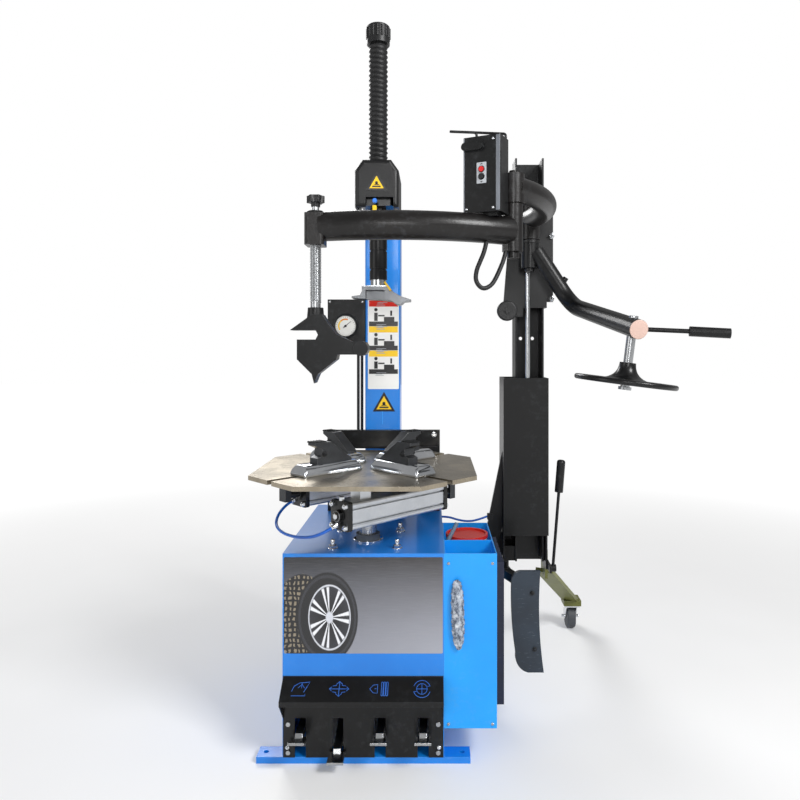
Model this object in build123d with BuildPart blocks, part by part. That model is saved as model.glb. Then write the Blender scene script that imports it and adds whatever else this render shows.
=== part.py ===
from build123d import *
from math import cos, pi, radians, sin, tan
import os

os.makedirs("parts", exist_ok=True)

# Tyre changer with a tilting column, a helper arm and a side bead breaker, in millimetres.
# The origin is on the floor, on the turntable's spin axis.
# +X is the operator's right, +Y is the back of the machine, +Z is up.

# Clearances
fit = 0.05                  # radial running clearance of a pin or a shaft in its hole
air = 0.6                   # space between pieces that move past each other

# Base frame and cabinet
rail_height = 18.0
rail_width = 50.0
rail_length = 584.0
side_rail_width = 40.0
anchor_inset = 22.0
anchor_radius = 7.0
cabinet_width = 440.0
cabinet_depth = 585.0
cabinet_height = 554.0
cabinet_front = -138.0
sheet = 3.0
flange_radius = 35.0        # gearbox nose that comes up through the cabinet top
top_bolt_spacing = 180.0

# Pedals
pedal_places = (-171.0, -69.0, 46.0, 163.0)
latched_pedal = 1           # this pedal is held down when the machine stands idle
pedal_width = 44.0
pedal_lever_width = 20.0
pedal_pivot_y = 20.0
pedal_pivot_z = 84.0
pedal_reach = 224.0
pedal_shaft_radius = 8.0
pedal_travel = 14.0         # degrees

# Turntable
table_rise = 204.0          # underside of the plate above the cabinet's top
table_thickness = 12.0
table_half_width = 308.0
table_flat_half = 159.0
slot_width = 20.0
slot_start = 75.0
spindle_radius = 25.0
hub_flange_radius = 75.0
slide_inner = 52.0
slide_outer = 243.0
slide_half_width = 35.0
slide_height = 27.0
jaw_width = 34.0
jaw_height = 58.0
clamp_side = 74.0
clamp_offset = 150.0
clamp_start = -217.0
clamp_end = 139.0
clamp_drop = 34.0           # top of the clamp cylinders below the plate
clamp_cap = 12.0
clamp_rod_radius = 10.0

# Column, head and mounting tool
column_x = 15.0
column_front = 375.0
column_side = 122.0
column_wall = 5.0
column_gap = 18.0           # foot of the column above the cabinet's top
column_top = 1578.0
pivot_rise = 68.0           # tilt pin above the cabinet's top
pivot_radius = 15.0
shaft_y = 190.0
hex_flats = 44.0
arm_width = 100.0
arm_height = 114.0
cover_width = 137.0
cover_top = 1719.0
cover_height = 148.0
cover_wall = 4.0
bellows_radius = 30.5
bellows_height = 384.0
bellows_folds = 25
cap_radius = 39.5
cap_height = 60.0

# Helper arm
mast_x = 522.0
mast_width = 98.0
mast_front = 345.0
mast_depth = 89.0
mast_top = 1785.0
mast_sheet = 6.0
hinge_x = 512.0
hinge_y = 267.0
hinge_radius = 14.0
elbow_x = 407.0
elbow_y = -149.0
elbow_radius = 22.0
tube_radius = 38.0
tube_wall = 4.0
link_z = 1562.0
boom_z = 1447.0
press_x = -116.0
press_y = -218.0
press_radius = 15.0
lifter_radius = 26.0
disc_radius = 133.0

# Free hoses: hand-chosen points along each route
coupling_hose_radius = 4.0
coupling_hose_route = [
    (-212.8, -0.7, 690.0), (-232.0, -20.0, 681.0), (-250.0, -58.0, 660.0), (-247.0, -106.0, 642.0),
    (-219.0, -156.0, 634.0), (-176.0, -206.0, 636.0), (-134.0, -252.0, 646.0), (-102.0, -279.0, 659.0),
    (-76.0, -283.0, 672.0), (-55.9, -268.0, 682.0),
]
boom_hose_radius = 6.0
boom_hose_route = [
    (330.0, -199.0, 1410.0), (325.0, -202.0, 1386.0), (314.0, -204.0, 1360.0), (303.0, -204.0, 1334.0),
    (301.0, -203.0, 1306.0), (320.0, -198.0, 1285.0), (344.0, -190.0, 1296.0), (359.0, -181.0, 1321.0),
    (370.0, -172.0, 1346.0), (380.0, -165.0, 1369.0), (385.0, -162.0, 1391.0),
]
air_hose_radius = 3.5
air_hose_route = [
    (220.0, 335.0, 556.0), (243.0, 335.0, 556.0), (276.0, 334.0, 545.0), (312.0, 333.0, 540.0),
    (346.0, 334.0, 546.0), (376.0, 340.0, 556.0),
]


def block(x, y, z, mode=Mode.ADD):
    """Add a box between two limits on each axis."""
    with Locations(((x[0] + x[1]) / 2, (y[0] + y[1]) / 2, (z[0] + z[1]) / 2)):
        Box(x[1] - x[0], y[1] - y[0], z[1] - z[0], mode=mode)


def rod(start, end, radius, mode=Mode.ADD):
    """Add a round bar, or cut a round hole, from one point to another."""
    span = Vector(*end) - Vector(*start)
    with BuildSketch(Plane(origin=start, z_dir=span)) as section:
        Circle(radius)
    extrude(section.sketch, amount=span.length, mode=mode)


def profile(plane, points, amount, both=False, mode=Mode.ADD):
    """Add or cut a flat outline, extruded from its plane."""
    with BuildSketch(plane) as outline:
        with BuildLine():
            Polyline(*points, close=True)
        make_face()
    extrude(outline.sketch, amount=amount, both=both, mode=mode)


def swept_tube(path, radius, bore=0.0):
    """Add a round tube along a path made beforehand."""
    start = path @ 0
    with BuildSketch(Plane(origin=start, z_dir=path % 0)) as section:
        Circle(radius)
        if bore:
            Circle(bore, mode=Mode.SUBTRACT)
    sweep(section.sketch, path=path)


def route_radii(points):
    """Arc radius at each inner point, as large as the two runs beside it allow."""
    corners = [Vector(*point) for point in points]
    radii = []
    for before, corner, after in zip(corners, corners[1:], corners[2:]):
        turn = (corner - before).get_angle(after - corner)
        shorter = min((corner - before).length, (after - corner).length)
        radii.append(0.45 * shorter / tan(radians(turn / 2)))
    return radii


def hose_path(name, points, radius):
    """Straight runs joined by tangent arcs; prints the radii and the length."""
    radii = route_radii(points)
    with BuildLine() as route:
        FilletPolyline(*points, radius=radii)
    wire = route.wires()[0]
    print(name, "radii", [round(value, 1) for value in radii], "length", round(wire.length, 1))
    print(name, "section x length", round(pi * radius**2 * wire.length, 1))
    return wire


cabinet_rear = cabinet_front + cabinet_depth
pivot_y = column_front + column_side / 2
column_back = column_front + column_side
cabinet_top = rail_height + cabinet_height
half_cabinet = cabinet_width / 2
table_bottom = cabinet_top + table_rise
table_top = table_bottom + table_thickness
clamp_top = table_bottom - clamp_drop
column_bottom = cabinet_top + column_gap
pivot_z = cabinet_top + pivot_rise

# ---- Base frame: two foot rails joined by side rails, one flat ring on the floor ----
rail_hole_x = rail_length / 2 - anchor_inset
front_hole_y = cabinet_front + rail_width / 2
rear_hole_y = cabinet_rear - rail_width / 2
with BuildPart() as base_frame:
    for rail_y in (cabinet_front, cabinet_rear - rail_width):
        block((-rail_length / 2, rail_length / 2), (rail_y, rail_y + rail_width), (0, rail_height))
    for side in (-1, 1):
        inner = side * (half_cabinet - side_rail_width)
        outer = side * half_cabinet
        block(sorted((inner, outer)), (cabinet_front, cabinet_rear), (0, rail_height))
    for hole_x in (-rail_hole_x, rail_hole_x):
        for hole_y in (front_hole_y, rear_hole_y):
            rod((hole_x, hole_y, -1), (hole_x, hole_y, rail_height + 1), anchor_radius, Mode.SUBTRACT)
base_frame.part.label = "base_frame"
export_step(base_frame.part, "parts/base_frame.step")

# ---- Cabinet: folded sheet box, open below and behind the pedal cover ----
pedal_opening_height = 190.0
lug_half_gap = 14.0 + air           # half the space between the tilt cylinder's lugs
lug_sheet = 6.0
tilt_base_y = column_back + 28
tilt_base_z = 250.0
small_pin_radius = 10.0
with BuildPart() as cabinet_shell:
    block((-half_cabinet, half_cabinet), (cabinet_front, cabinet_rear), (rail_height, cabinet_top))
    block((-half_cabinet + sheet, half_cabinet - sheet), (cabinet_front + sheet, cabinet_rear - sheet),
          (rail_height - 1, cabinet_top - sheet), Mode.SUBTRACT)
    block((-205, 205), (cabinet_front - 1, cabinet_front + sheet + 1),
          (rail_height - 1, rail_height + pedal_opening_height), Mode.SUBTRACT)
    rod((0, 0, cabinet_top - sheet - 1), (0, 0, cabinet_top + 1), flange_radius + fit, Mode.SUBTRACT)
    for bolt_x in (-top_bolt_spacing / 2, top_bolt_spacing / 2):
        for bolt_y in (-top_bolt_spacing / 2, top_bolt_spacing / 2):
            rod((bolt_x, bolt_y, cabinet_top - sheet - 1), (bolt_x, bolt_y, cabinet_top + 1), 6.0, Mode.SUBTRACT)
    for side in (-1, 1):
        near = column_x + side * lug_half_gap
        far = near + side * lug_sheet
        block(sorted((near, far)), (cabinet_rear - sheet, tilt_base_y + 18),
              (tilt_base_z - 20, tilt_base_z + 20))
    rod((column_x - 40, tilt_base_y, tilt_base_z), (column_x + 40, tilt_base_y, tilt_base_z),
        small_pin_radius, Mode.SUBTRACT)
cabinet_shell.part.label = "cabinet_shell"
export_step(cabinet_shell.part, "parts/cabinet_shell.step")

# ---- Pedal cover: kick panel with four notches, and a visor that slopes out over the pedals ----
cover_half = 218.0
cover_sheet = 2.0
visor_top = 239.0
visor_lip = 196.0
visor_reach = 57.0
lip_drop = 13.0
cheek_bottom = 120.0
panel_back = cabinet_front
with BuildPart() as pedal_cover:
    block((-cover_half, cover_half), (panel_back - cover_sheet, panel_back), (rail_height, visor_top))
    visor = [
        (panel_back, visor_top), (panel_back - visor_reach, visor_lip),
        (panel_back - visor_reach, visor_lip - lip_drop),
        (panel_back - visor_reach + cover_sheet, visor_lip - lip_drop),
        (panel_back - visor_reach + cover_sheet, visor_lip - cover_sheet),
        (panel_back, visor_top - cover_sheet - 1),
    ]
    profile(Plane.YZ.offset(-cover_half), visor, 2 * cover_half)
    cheek = [
        (panel_back, visor_top - cover_sheet), (panel_back - visor_reach + cover_sheet, visor_lip - cover_sheet),
        (panel_back - visor_reach + cover_sheet, visor_lip - lip_drop), (panel_back, cheek_bottom),
    ]
    profile(Plane.YZ.offset(-cover_half), cheek, cover_sheet)
    profile(Plane.YZ.offset(cover_half - cover_sheet), cheek, cover_sheet)
    for place in pedal_places:
        block((place - pedal_lever_width / 2 - 5, place + pedal_lever_width / 2 + 5),
              (panel_back - cover_sheet - 1, panel_back + 1), (rail_height - 1, 125), Mode.SUBTRACT)
pedal_cover.part.label = "pedal_cover"
export_step(pedal_cover.part, "parts/pedal_cover.step")

# ---- Four pedals: cranked lever, ribbed foot plate, pivot eye ----
latched_drop = radians(pedal_travel)
plate_length = 54.0
for number, place in enumerate(pedal_places):
    drop = latched_drop if number == latched_pedal else 0.0
    pivot = Plane(origin=(place, pedal_pivot_y, pedal_pivot_z), x_dir=(0, -cos(drop), -sin(drop)),
                  z_dir=(1, 0, 0))
    plate_start = pedal_reach - plate_length
    lever = [(-14, -10), (plate_start + 8, -10), (plate_start + 16, 0), (plate_start + 16, 6),
             (plate_start, 8), (-14, 10)]
    plate = [(plate_start, 4), (pedal_reach, -10), (pedal_reach + 2, -4), (plate_start + 2, 11)]
    with BuildPart() as pedal:
        profile(pivot, lever, pedal_lever_width / 2, both=True)
        profile(pivot, plate, pedal_width / 2, both=True)
        with BuildSketch(pivot) as eye:
            Circle(16)
        extrude(eye.sketch, amount=pedal_lever_width / 2 + 4, both=True)
        with BuildSketch(pivot) as eye_hole:
            Circle(pedal_shaft_radius + fit)
        extrude(eye_hole.sketch, amount=pedal_width, both=True, mode=Mode.SUBTRACT)
        for rib in range(4):
            along = plate_start + 6 + rib * 12
            slope = 11.5 - 15 * (along - plate_start) / plate_length
            rib_outline = [(along, slope - 4), (along + 5, slope - 5), (along + 5, slope), (along, slope + 1)]
            profile(pivot, rib_outline, pedal_width / 2 - 3, both=True)
    pedal.part.label = f"pedal_{number + 1}"
    export_step(pedal.part, f"parts/pedal_{number + 1}.step")

# ---- Gearbox, motor and spindle ----
gearbox_half = 80.0
gearbox_bottom = cabinet_top - 162
motor_radius = 68.0
motor_z = gearbox_bottom + motor_radius
with BuildPart() as gearbox:
    block((-gearbox_half, gearbox_half), (-gearbox_half, gearbox_half), (gearbox_bottom, cabinet_top - sheet))
    fillet(gearbox.edges().filter_by(Axis.Z), radius=12)
    rod((0, 0, cabinet_top - sheet), (0, 0, cabinet_top + 20), flange_radius)
    rod((0, 0, gearbox_bottom + 20), (0, 0, cabinet_top + 21), spindle_radius + fit, Mode.SUBTRACT)
gearbox.part.label = "gearbox"
export_step(gearbox.part, "parts/gearbox.step")

with BuildPart() as drive_motor:
    rod((0, gearbox_half, motor_z), (0, gearbox_half + 14, motor_z), motor_radius)
    rod((0, gearbox_half + 14, motor_z), (0, gearbox_half + 230, motor_z), motor_radius - 6)
    for turn in range(0, 360, 30):
        fin = Plane(origin=(0, gearbox_half + 30, motor_z), x_dir=(cos(radians(turn)), 0, sin(radians(turn))),
                    z_dir=(0, 1, 0))
        with BuildSketch(fin) as fin_face:
            with Locations((motor_radius - 6, 0)):
                Rectangle(14, 4)
        extrude(fin_face.sketch, amount=150)
    block((-40, 40), (gearbox_half + 60, gearbox_half + 150), (motor_z + motor_radius - 14, cabinet_top - sheet - 8))
drive_motor.part.label = "drive_motor"
export_step(drive_motor.part, "parts/drive_motor.step")

with BuildPart() as spindle:
    rod((0, 0, gearbox_bottom + 20.3), (0, 0, table_bottom), spindle_radius)
    rod((0, 0, table_bottom - 14), (0, 0, table_bottom), hub_flange_radius)
spindle.part.label = "spindle"
export_step(spindle.part, "parts/spindle.step")

# ---- Turntable: octagon with an open slot on each diagonal ----
with BuildPart() as turntable_plate:
    corners = []
    for quarter in range(4):
        turned = Location((0, 0, 0), (0, 0, 90 * quarter))
        for corner in ((table_half_width, -table_flat_half), (table_half_width, table_flat_half)):
            turned_corner = (turned * Location((*corner, 0))).position
            corners.append((turned_corner.X, turned_corner.Y))
    with BuildSketch(Plane.XY.offset(table_bottom)) as octagon:
        with BuildLine():
            Polyline(*corners, close=True)
        make_face()
        with Locations(Location((0, 0), 45)):
            with PolarLocations(0, 4):
                with Locations((slot_start + 150, 0)):
                    SlotOverall(300, slot_width, mode=Mode.SUBTRACT)
    extrude(amount=table_thickness)
    for quarter in range(4):
        angle = radians(45 + 90 * quarter)
        end = Plane(origin=(0, 0, table_bottom - 1), x_dir=(cos(angle), sin(angle), 0), z_dir=(0, 0, 1))
        with BuildSketch(end) as slot_mouth:
            with Locations((slot_start + 250, 0)):
                Rectangle(60, slot_width)
        extrude(slot_mouth.sketch, amount=table_thickness + 2, mode=Mode.SUBTRACT)
turntable_plate.part.label = "turntable_plate"
export_step(turntable_plate.part, "parts/turntable_plate.step")

# ---- Four clamp jaws: domed slide, claw on top, key in the slot, foot below, two with a drive rod ----
foot_top = table_bottom - air
foot_height = 24.0
clamp_axis_z = clamp_top - clamp_side / 2
jaw_radius = 150.0
lug_radius = 185.0
for number in range(4):
    angle = radians(45 + 90 * number)
    outward = (cos(angle), sin(angle), 0)
    sideways = (sin(angle), -cos(angle), 0)
    upright = Plane(origin=(0, 0, 0), x_dir=outward, z_dir=sideways)
    slide_bottom = table_top + air
    slide_middle = (slide_inner + slide_outer) / 2
    slide_length = slide_outer - slide_inner
    with BuildPart() as clamp_jaw:
        for height, shrink in ((slide_bottom, 0.0), (slide_bottom + slide_height, 15.0)):
            level = Plane(origin=(0, 0, height), x_dir=outward, z_dir=(0, 0, 1))
            with BuildSketch(level):
                with Locations((slide_middle, 0)):
                    Rectangle(slide_length - 2 * shrink, 2 * (slide_half_width - shrink))
        loft()
        jaw_foot = slide_bottom + slide_height
        claw = [
            (slide_inner + 22, jaw_foot), (jaw_radius + 42, jaw_foot), (jaw_radius + 42, jaw_foot + 16),
            (jaw_radius + 26, jaw_foot + 22), (jaw_radius + 26, jaw_foot + 40), (jaw_radius + 48, jaw_foot + 50),
            (jaw_radius + 48, jaw_foot + jaw_height), (jaw_radius - 4, jaw_foot + jaw_height),
            (slide_inner + 22, jaw_foot + 6),
        ]
        profile(upright, claw, jaw_width / 2, both=True)
        key_level = Plane(origin=(0, 0, foot_top - foot_height), x_dir=outward, z_dir=(0, 0, 1))
        with BuildSketch(key_level) as key:
            with Locations((jaw_radius + 10, 0)):
                Rectangle(90, slot_width - 2 * air)
        extrude(key.sketch, amount=slide_bottom + 2 - foot_top + foot_height)
        with BuildSketch(key_level) as foot:
            with Locations((jaw_radius + 10, 0)):
                Rectangle(90, 2.4 * slot_width)
        extrude(foot.sketch, amount=foot_height)
        if number in (0, 2):
            with BuildSketch(key_level) as cross_bar:
                with Locations((lug_radius, -clamp_offset / 2 - 6)):
                    Rectangle(20, clamp_offset + 24)
            extrude(cross_bar.sketch, amount=foot_height - 4)
            lug_level = Plane(origin=(0, 0, clamp_axis_z - 16), x_dir=outward, z_dir=(0, 0, 1))
            with BuildSketch(lug_level) as lug:
                with Locations((lug_radius, -clamp_offset)):
                    Rectangle(20, 32)
            extrude(lug.sketch, amount=foot_top - foot_height - clamp_axis_z + 17)
            bar_start = Vector(*outward) * (clamp_end - 120) + Vector(*sideways) * clamp_offset
            bar_end = Vector(*outward) * lug_radius + Vector(*sideways) * clamp_offset
            level = Vector(0, 0, clamp_axis_z)
            rod((bar_start + level), (bar_end + level), clamp_rod_radius)
    clamp_jaw.part.label = f"clamp_jaw_{number + 1}"
    export_step(clamp_jaw.part, f"parts/clamp_jaw_{number + 1}.step")

# ---- Two clamp cylinders under the plate: extruded barrel, end caps, hanger blocks ----
for number, angle_degrees in enumerate((45, 225)):
    angle = radians(angle_degrees)
    outward = (cos(angle), sin(angle), 0)
    sideways = (sin(angle), -cos(angle), 0)
    barrel_start = Vector(*outward) * clamp_start + Vector(*sideways) * clamp_offset + Vector(0, 0, clamp_axis_z)
    across = Plane(origin=barrel_start, x_dir=sideways, z_dir=outward)
    with BuildPart() as clamp_cylinder:
        with BuildSketch(across) as barrel:
            RectangleRounded(clamp_side - 4, clamp_side - 4, 6)
            for side in (-1, 1):
                with Locations((side * clamp_side / 2 - side * 4, clamp_side / 4),
                               (side * clamp_side / 2 - side * 4, -clamp_side / 4)):
                    Rectangle(8, 5, mode=Mode.SUBTRACT)
            Circle(clamp_side / 2 - 8, mode=Mode.SUBTRACT)
        extrude(barrel.sketch, amount=clamp_end - clamp_start)
        for place in (0.0, clamp_end - clamp_start - clamp_cap):
            with BuildSketch(across.offset(place)) as cap:
                RectangleRounded(clamp_side, clamp_side, 5)
                Circle(clamp_rod_radius + fit, mode=Mode.SUBTRACT)
            extrude(cap.sketch, amount=clamp_cap)
            for side in (-1, 1):
                for end in (-1, 1):
                    with BuildSketch(across.offset(place - 7 if place == 0 else place + clamp_cap)) as nut:
                        with Locations((side * (clamp_side / 2 - 10), end * (clamp_side / 2 - 10))):
                            RegularPolygon(7, 6)
                    extrude(nut.sketch, amount=7)
        with BuildSketch(across.offset(-12)) as port:
            Circle(14)
        extrude(port.sketch, amount=18)
        for place in (50.0, clamp_end - clamp_start - 90.0):
            with BuildSketch(across.offset(place)) as hanger:
                with Locations((0, -(clamp_side / 2 - 3 + table_bottom - clamp_axis_z) / 2)):
                    Rectangle(40, table_bottom - clamp_axis_z - clamp_side / 2 + 3)
            extrude(hanger.sketch, amount=36)
    clamp_cylinder.part.label = f"clamp_cylinder_{number + 1}"
    export_step(clamp_cylinder.part, f"parts/clamp_cylinder_{number + 1}.step")

# ---- Tilt bracket: portal in front of the column and two cheeks that carry the pivot pin ----
bracket_front = 350.5
bracket_back = column_front - 5.0
bracket_left = -172.0
bracket_right = 214.0
post_width = 80.0
beam_bottom = cabinet_top + 215
beam_top = beam_bottom + 63
cheek_inner = column_side / 2 + air
cheek_sheet = 12.0
with BuildPart() as tilt_bracket:
    block((bracket_left, bracket_right), (bracket_front, bracket_back), (beam_bottom, beam_top))
    block((bracket_left, bracket_right), (bracket_front, bracket_back), (cabinet_top, cabinet_top + 12))
    for left in (bracket_left, bracket_right - post_width):
        block((left, left + post_width), (bracket_front, bracket_back), (cabinet_top, beam_top))
        block((left + 8, left + post_width - 8), (bracket_front - 1, bracket_front + 6),
              (beam_bottom + 6, beam_top - 6), Mode.SUBTRACT)
    for side in (-1, 1):
        near = column_x + side * cheek_inner
        far = near + side * cheek_sheet
        cheek = [(bracket_back - 1, cabinet_top), (cabinet_rear, cabinet_top), (pivot_y + 34, pivot_z + 10),
                 (pivot_y + 20, pivot_z + 40), (bracket_back - 1, pivot_z + 40)]
        profile(Plane.YZ.offset(min(near, far)), cheek, cheek_sheet)
    rod((column_x - 100, pivot_y, pivot_z), (column_x + 100, pivot_y, pivot_z), pivot_radius + fit, Mode.SUBTRACT)
tilt_bracket.part.label = "tilt_bracket"
export_step(tilt_bracket.part, "parts/tilt_bracket.step")

# ---- Pins and bolts of the cabinet, in one group ----
nut_radius = 10.0
nut_height = 9.0
with BuildPart() as pins_and_bolts:
    for bolt_x in (-top_bolt_spacing / 2, top_bolt_spacing / 2):
        for bolt_y in (-top_bolt_spacing / 2, top_bolt_spacing / 2):
            rod((bolt_x, bolt_y, cabinet_top - sheet - 8), (bolt_x, bolt_y, cabinet_top + 20), 5.9)
            with BuildSketch(Plane(origin=(bolt_x, bolt_y, cabinet_top))) as washer:
                Circle(nut_radius + 3)
            extrude(washer.sketch, amount=2)
            with BuildSketch(Plane(origin=(bolt_x, bolt_y, cabinet_top + 2))) as nut:
                RegularPolygon(nut_radius, 6)
            extrude(nut.sketch, amount=nut_height)
    rod((-half_cabinet + sheet, pedal_pivot_y, pedal_pivot_z), (half_cabinet - sheet, pedal_pivot_y, pedal_pivot_z),
        pedal_shaft_radius)
    pin_half = cheek_inner + cheek_sheet + 8
    rod((column_x - pin_half, pivot_y, pivot_z), (column_x + pin_half, pivot_y, pivot_z), pivot_radius)
    rod((column_x - 28, tilt_base_y, tilt_base_z), (column_x + 28, tilt_base_y, tilt_base_z), small_pin_radius - fit)
    for screw_x in (-cover_half + 14, cover_half - 14):
        for screw_z in (rail_height + 14, visor_top - 130):
            screw_face = cabinet_front - cover_sheet
            rod((screw_x, screw_face - 4, screw_z), (screw_x, screw_face, screw_z), 6.0)
pins_and_bolts.part.label = "pins_and_bolts"
export_step(pins_and_bolts.part, "parts/pins_and_bolts.step")

# ---- Column: square tube on the pivot, with lugs for the tilt cylinder ----
half_column = column_side / 2
lug_z = pivot_z + 120
lug_y = column_back + 48
top_pin_radius = 8.0
with BuildPart() as column_tube:
    block((column_x - half_column, column_x + half_column), (column_front, column_back), (column_bottom, column_top))
    fillet(column_tube.edges().filter_by(Axis.Z), radius=8)
    block((column_x - half_column + column_wall, column_x + half_column - column_wall),
          (column_front + column_wall, column_back - column_wall), (column_bottom - 1, column_top - 8), Mode.SUBTRACT)
    rod((column_x - 80, pivot_y, pivot_z), (column_x + 80, pivot_y, pivot_z), pivot_radius + fit, Mode.SUBTRACT)
    for side in (-1, 1):
        near = column_x + side * lug_half_gap
        far = near + side * lug_sheet
        block(sorted((near, far)), (column_back - 1, lug_y + 18), (lug_z - 20, lug_z + 20))
    rod((column_x - lug_half_gap - 1, lug_y, lug_z), (column_x + lug_half_gap + 1, lug_y, lug_z), top_pin_radius)
column_tube.part.label = "column_tube"
export_step(column_tube.part, "parts/column_tube.step")

# ---- Tilt cylinder and its rod, from the cabinet's rear lugs to the column's ----
tilt_line = Vector(0, lug_y - tilt_base_y, lug_z - tilt_base_z)
tilt_direction = tilt_line.normalized()
tilt_base = Vector(column_x, tilt_base_y, tilt_base_z)
barrel_start = tilt_base + tilt_direction * 16
barrel_end = tilt_base + tilt_direction * 330
with BuildPart() as tilt_cylinder:
    rod((column_x - 14, tilt_base_y, tilt_base_z), (column_x + 14, tilt_base_y, tilt_base_z), 19)
    rod(barrel_start, (tilt_base + tilt_direction * 60), 14)
    rod((tilt_base + tilt_direction * 52), barrel_end, 32)
    rod((tilt_base + tilt_direction * 64), (barrel_end + tilt_direction), 10 + fit, Mode.SUBTRACT)
    rod((column_x - 20, tilt_base_y, tilt_base_z), (column_x + 20, tilt_base_y, tilt_base_z),
        small_pin_radius, Mode.SUBTRACT)
tilt_cylinder.part.label = "tilt_cylinder"
export_step(tilt_cylinder.part, "parts/tilt_cylinder.step")

with BuildPart() as tilt_rod:
    rod((tilt_base + tilt_direction * 200), (tilt_base + tilt_direction * 494), 10)
    rod((column_x - 12, lug_y, lug_z), (column_x + 12, lug_y, lug_z), 20)
    rod((column_x - 13, lug_y, lug_z), (column_x + 13, lug_y, lug_z), top_pin_radius + 4, Mode.SUBTRACT)
tilt_rod.part.label = "tilt_rod"
export_step(tilt_rod.part, "parts/tilt_rod.step")

# ---- Gauge box and pressure gauge with its two air lines ----
gauge_left = -176.0
gauge_bottom = 1112.0
gauge_top = 1302.0
gauge_x = -112.0
gauge_z = 1209.0
gauge_depth = 50.0
column_left = column_x - half_column
with BuildPart() as gauge_box:
    block((gauge_left, column_left), (column_front, column_front + gauge_depth), (gauge_bottom, gauge_top))
    block((gauge_left + 2, column_left - 2), (column_front + 2, column_front + gauge_depth + 1),
          (gauge_bottom + 2, gauge_top - 2), Mode.SUBTRACT)
    rod((gauge_x, column_front - 1, gauge_z), (gauge_x, column_front + 3, gauge_z), 36, Mode.SUBTRACT)
gauge_box.part.label = "gauge_box"
export_step(gauge_box.part, "parts/gauge_box.step")

line_radius = 5.0
with BuildPart() as pressure_gauge:
    rod((gauge_x, column_front - 4, gauge_z), (gauge_x, column_front, gauge_z), 43.5)
    rod((gauge_x, column_front - 18, gauge_z), (gauge_x, column_front - 4, gauge_z), 39)
    rod((gauge_x, column_front - 19, gauge_z), (gauge_x, column_front - 14, gauge_z), 35.5, Mode.SUBTRACT)
    rod((gauge_x, column_front, gauge_z), (gauge_x, column_front + 30, gauge_z), 35)
    for line_x, line_end in ((column_left - 26, 800.0), (column_left - 13, 830.0)):
        with BuildLine() as air_line:
            FilletPolyline((line_x, column_front + 25, gauge_bottom), (line_x, column_front + 25, line_end),
                           (column_left, column_front + 25, line_end), radius=11)
        swept_tube(air_line.wires()[0], line_radius)
pressure_gauge.part.label = "pressure_gauge"
export_step(pressure_gauge.part, "parts/pressure_gauge.step")

# ---- Head arm: box beam on the column's top, with a hexagonal bore at its front end ----
arm_bottom = column_top
arm_top = arm_bottom + arm_height
arm_front = 140.0
shaft_x = column_x
hex_apothem = hex_flats / 2
hex_corner = hex_apothem / cos(radians(30))
with BuildPart() as head_arm:
    block((shaft_x - arm_width / 2, shaft_x + arm_width / 2), (arm_front, column_back), (arm_bottom, arm_top))
    fillet(head_arm.edges().filter_by(Axis.Z), radius=10)
    block((shaft_x - arm_width / 2 + 6, shaft_x + arm_width / 2 - 6), (shaft_y + 60, column_back - 8),
          (arm_bottom + 6, arm_top - 6), Mode.SUBTRACT)
    with BuildSketch(Plane(origin=(shaft_x, shaft_y, arm_bottom - 1))) as hex_bore:
        RegularPolygon(hex_apothem + fit + 0.05, 6, major_radius=False)
    extrude(hex_bore.sketch, amount=arm_height + 2, mode=Mode.SUBTRACT)
head_arm.part.label = "head_arm"
export_step(head_arm.part, "parts/head_arm.step")

# ---- Head cover: moulded hood over the arm's front end, open below and behind ----
cover_front = 118.0
cover_back = 300.0
cover_bottom = cover_top - cover_height
half_cover = cover_width / 2
with BuildPart() as head_cover:
    outline = [(-half_cover, 0), (half_cover, 0), (half_cover, cover_height - 34),
               (half_cover - 24, cover_height), (24 - half_cover, cover_height), (-half_cover, cover_height - 34)]
    hood_plane = Plane(origin=(shaft_x, cover_back, cover_bottom), x_dir=(1, 0, 0), z_dir=(0, -1, 0))
    profile(hood_plane, outline, cover_back - cover_front)
    fillet(head_cover.edges().group_by(Axis.Y)[0], radius=14)
    inner = half_cover - cover_wall
    inside = [(-inner, -1), (inner, -1), (inner, cover_height - 36), (inner - 22, cover_height - cover_wall),
              (22 - inner, cover_height - cover_wall), (-inner, cover_height - 36)]
    profile(hood_plane.offset(-1), inside, cover_back - cover_front - cover_wall - 8, mode=Mode.SUBTRACT)
    rod((shaft_x, shaft_y, cover_top - cover_wall - 1), (shaft_x, shaft_y, cover_top + 1), hex_corner + 1,
        Mode.SUBTRACT)
    block((shaft_x - 34, shaft_x + 52), (cover_front - 1, cover_front + 30), (cover_bottom - 1, cover_bottom + 30),
          Mode.SUBTRACT)
    for side in (-1, 1):
        near = shaft_x + side * arm_width / 2
        far = shaft_x + side * (half_cover - cover_wall + 1)
        block(sorted((near, far)), (shaft_y + 20, shaft_y + 40), (arm_bottom + 10, arm_top - 10))
head_cover.part.label = "head_cover"
export_step(head_cover.part, "parts/head_cover.step")

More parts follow.
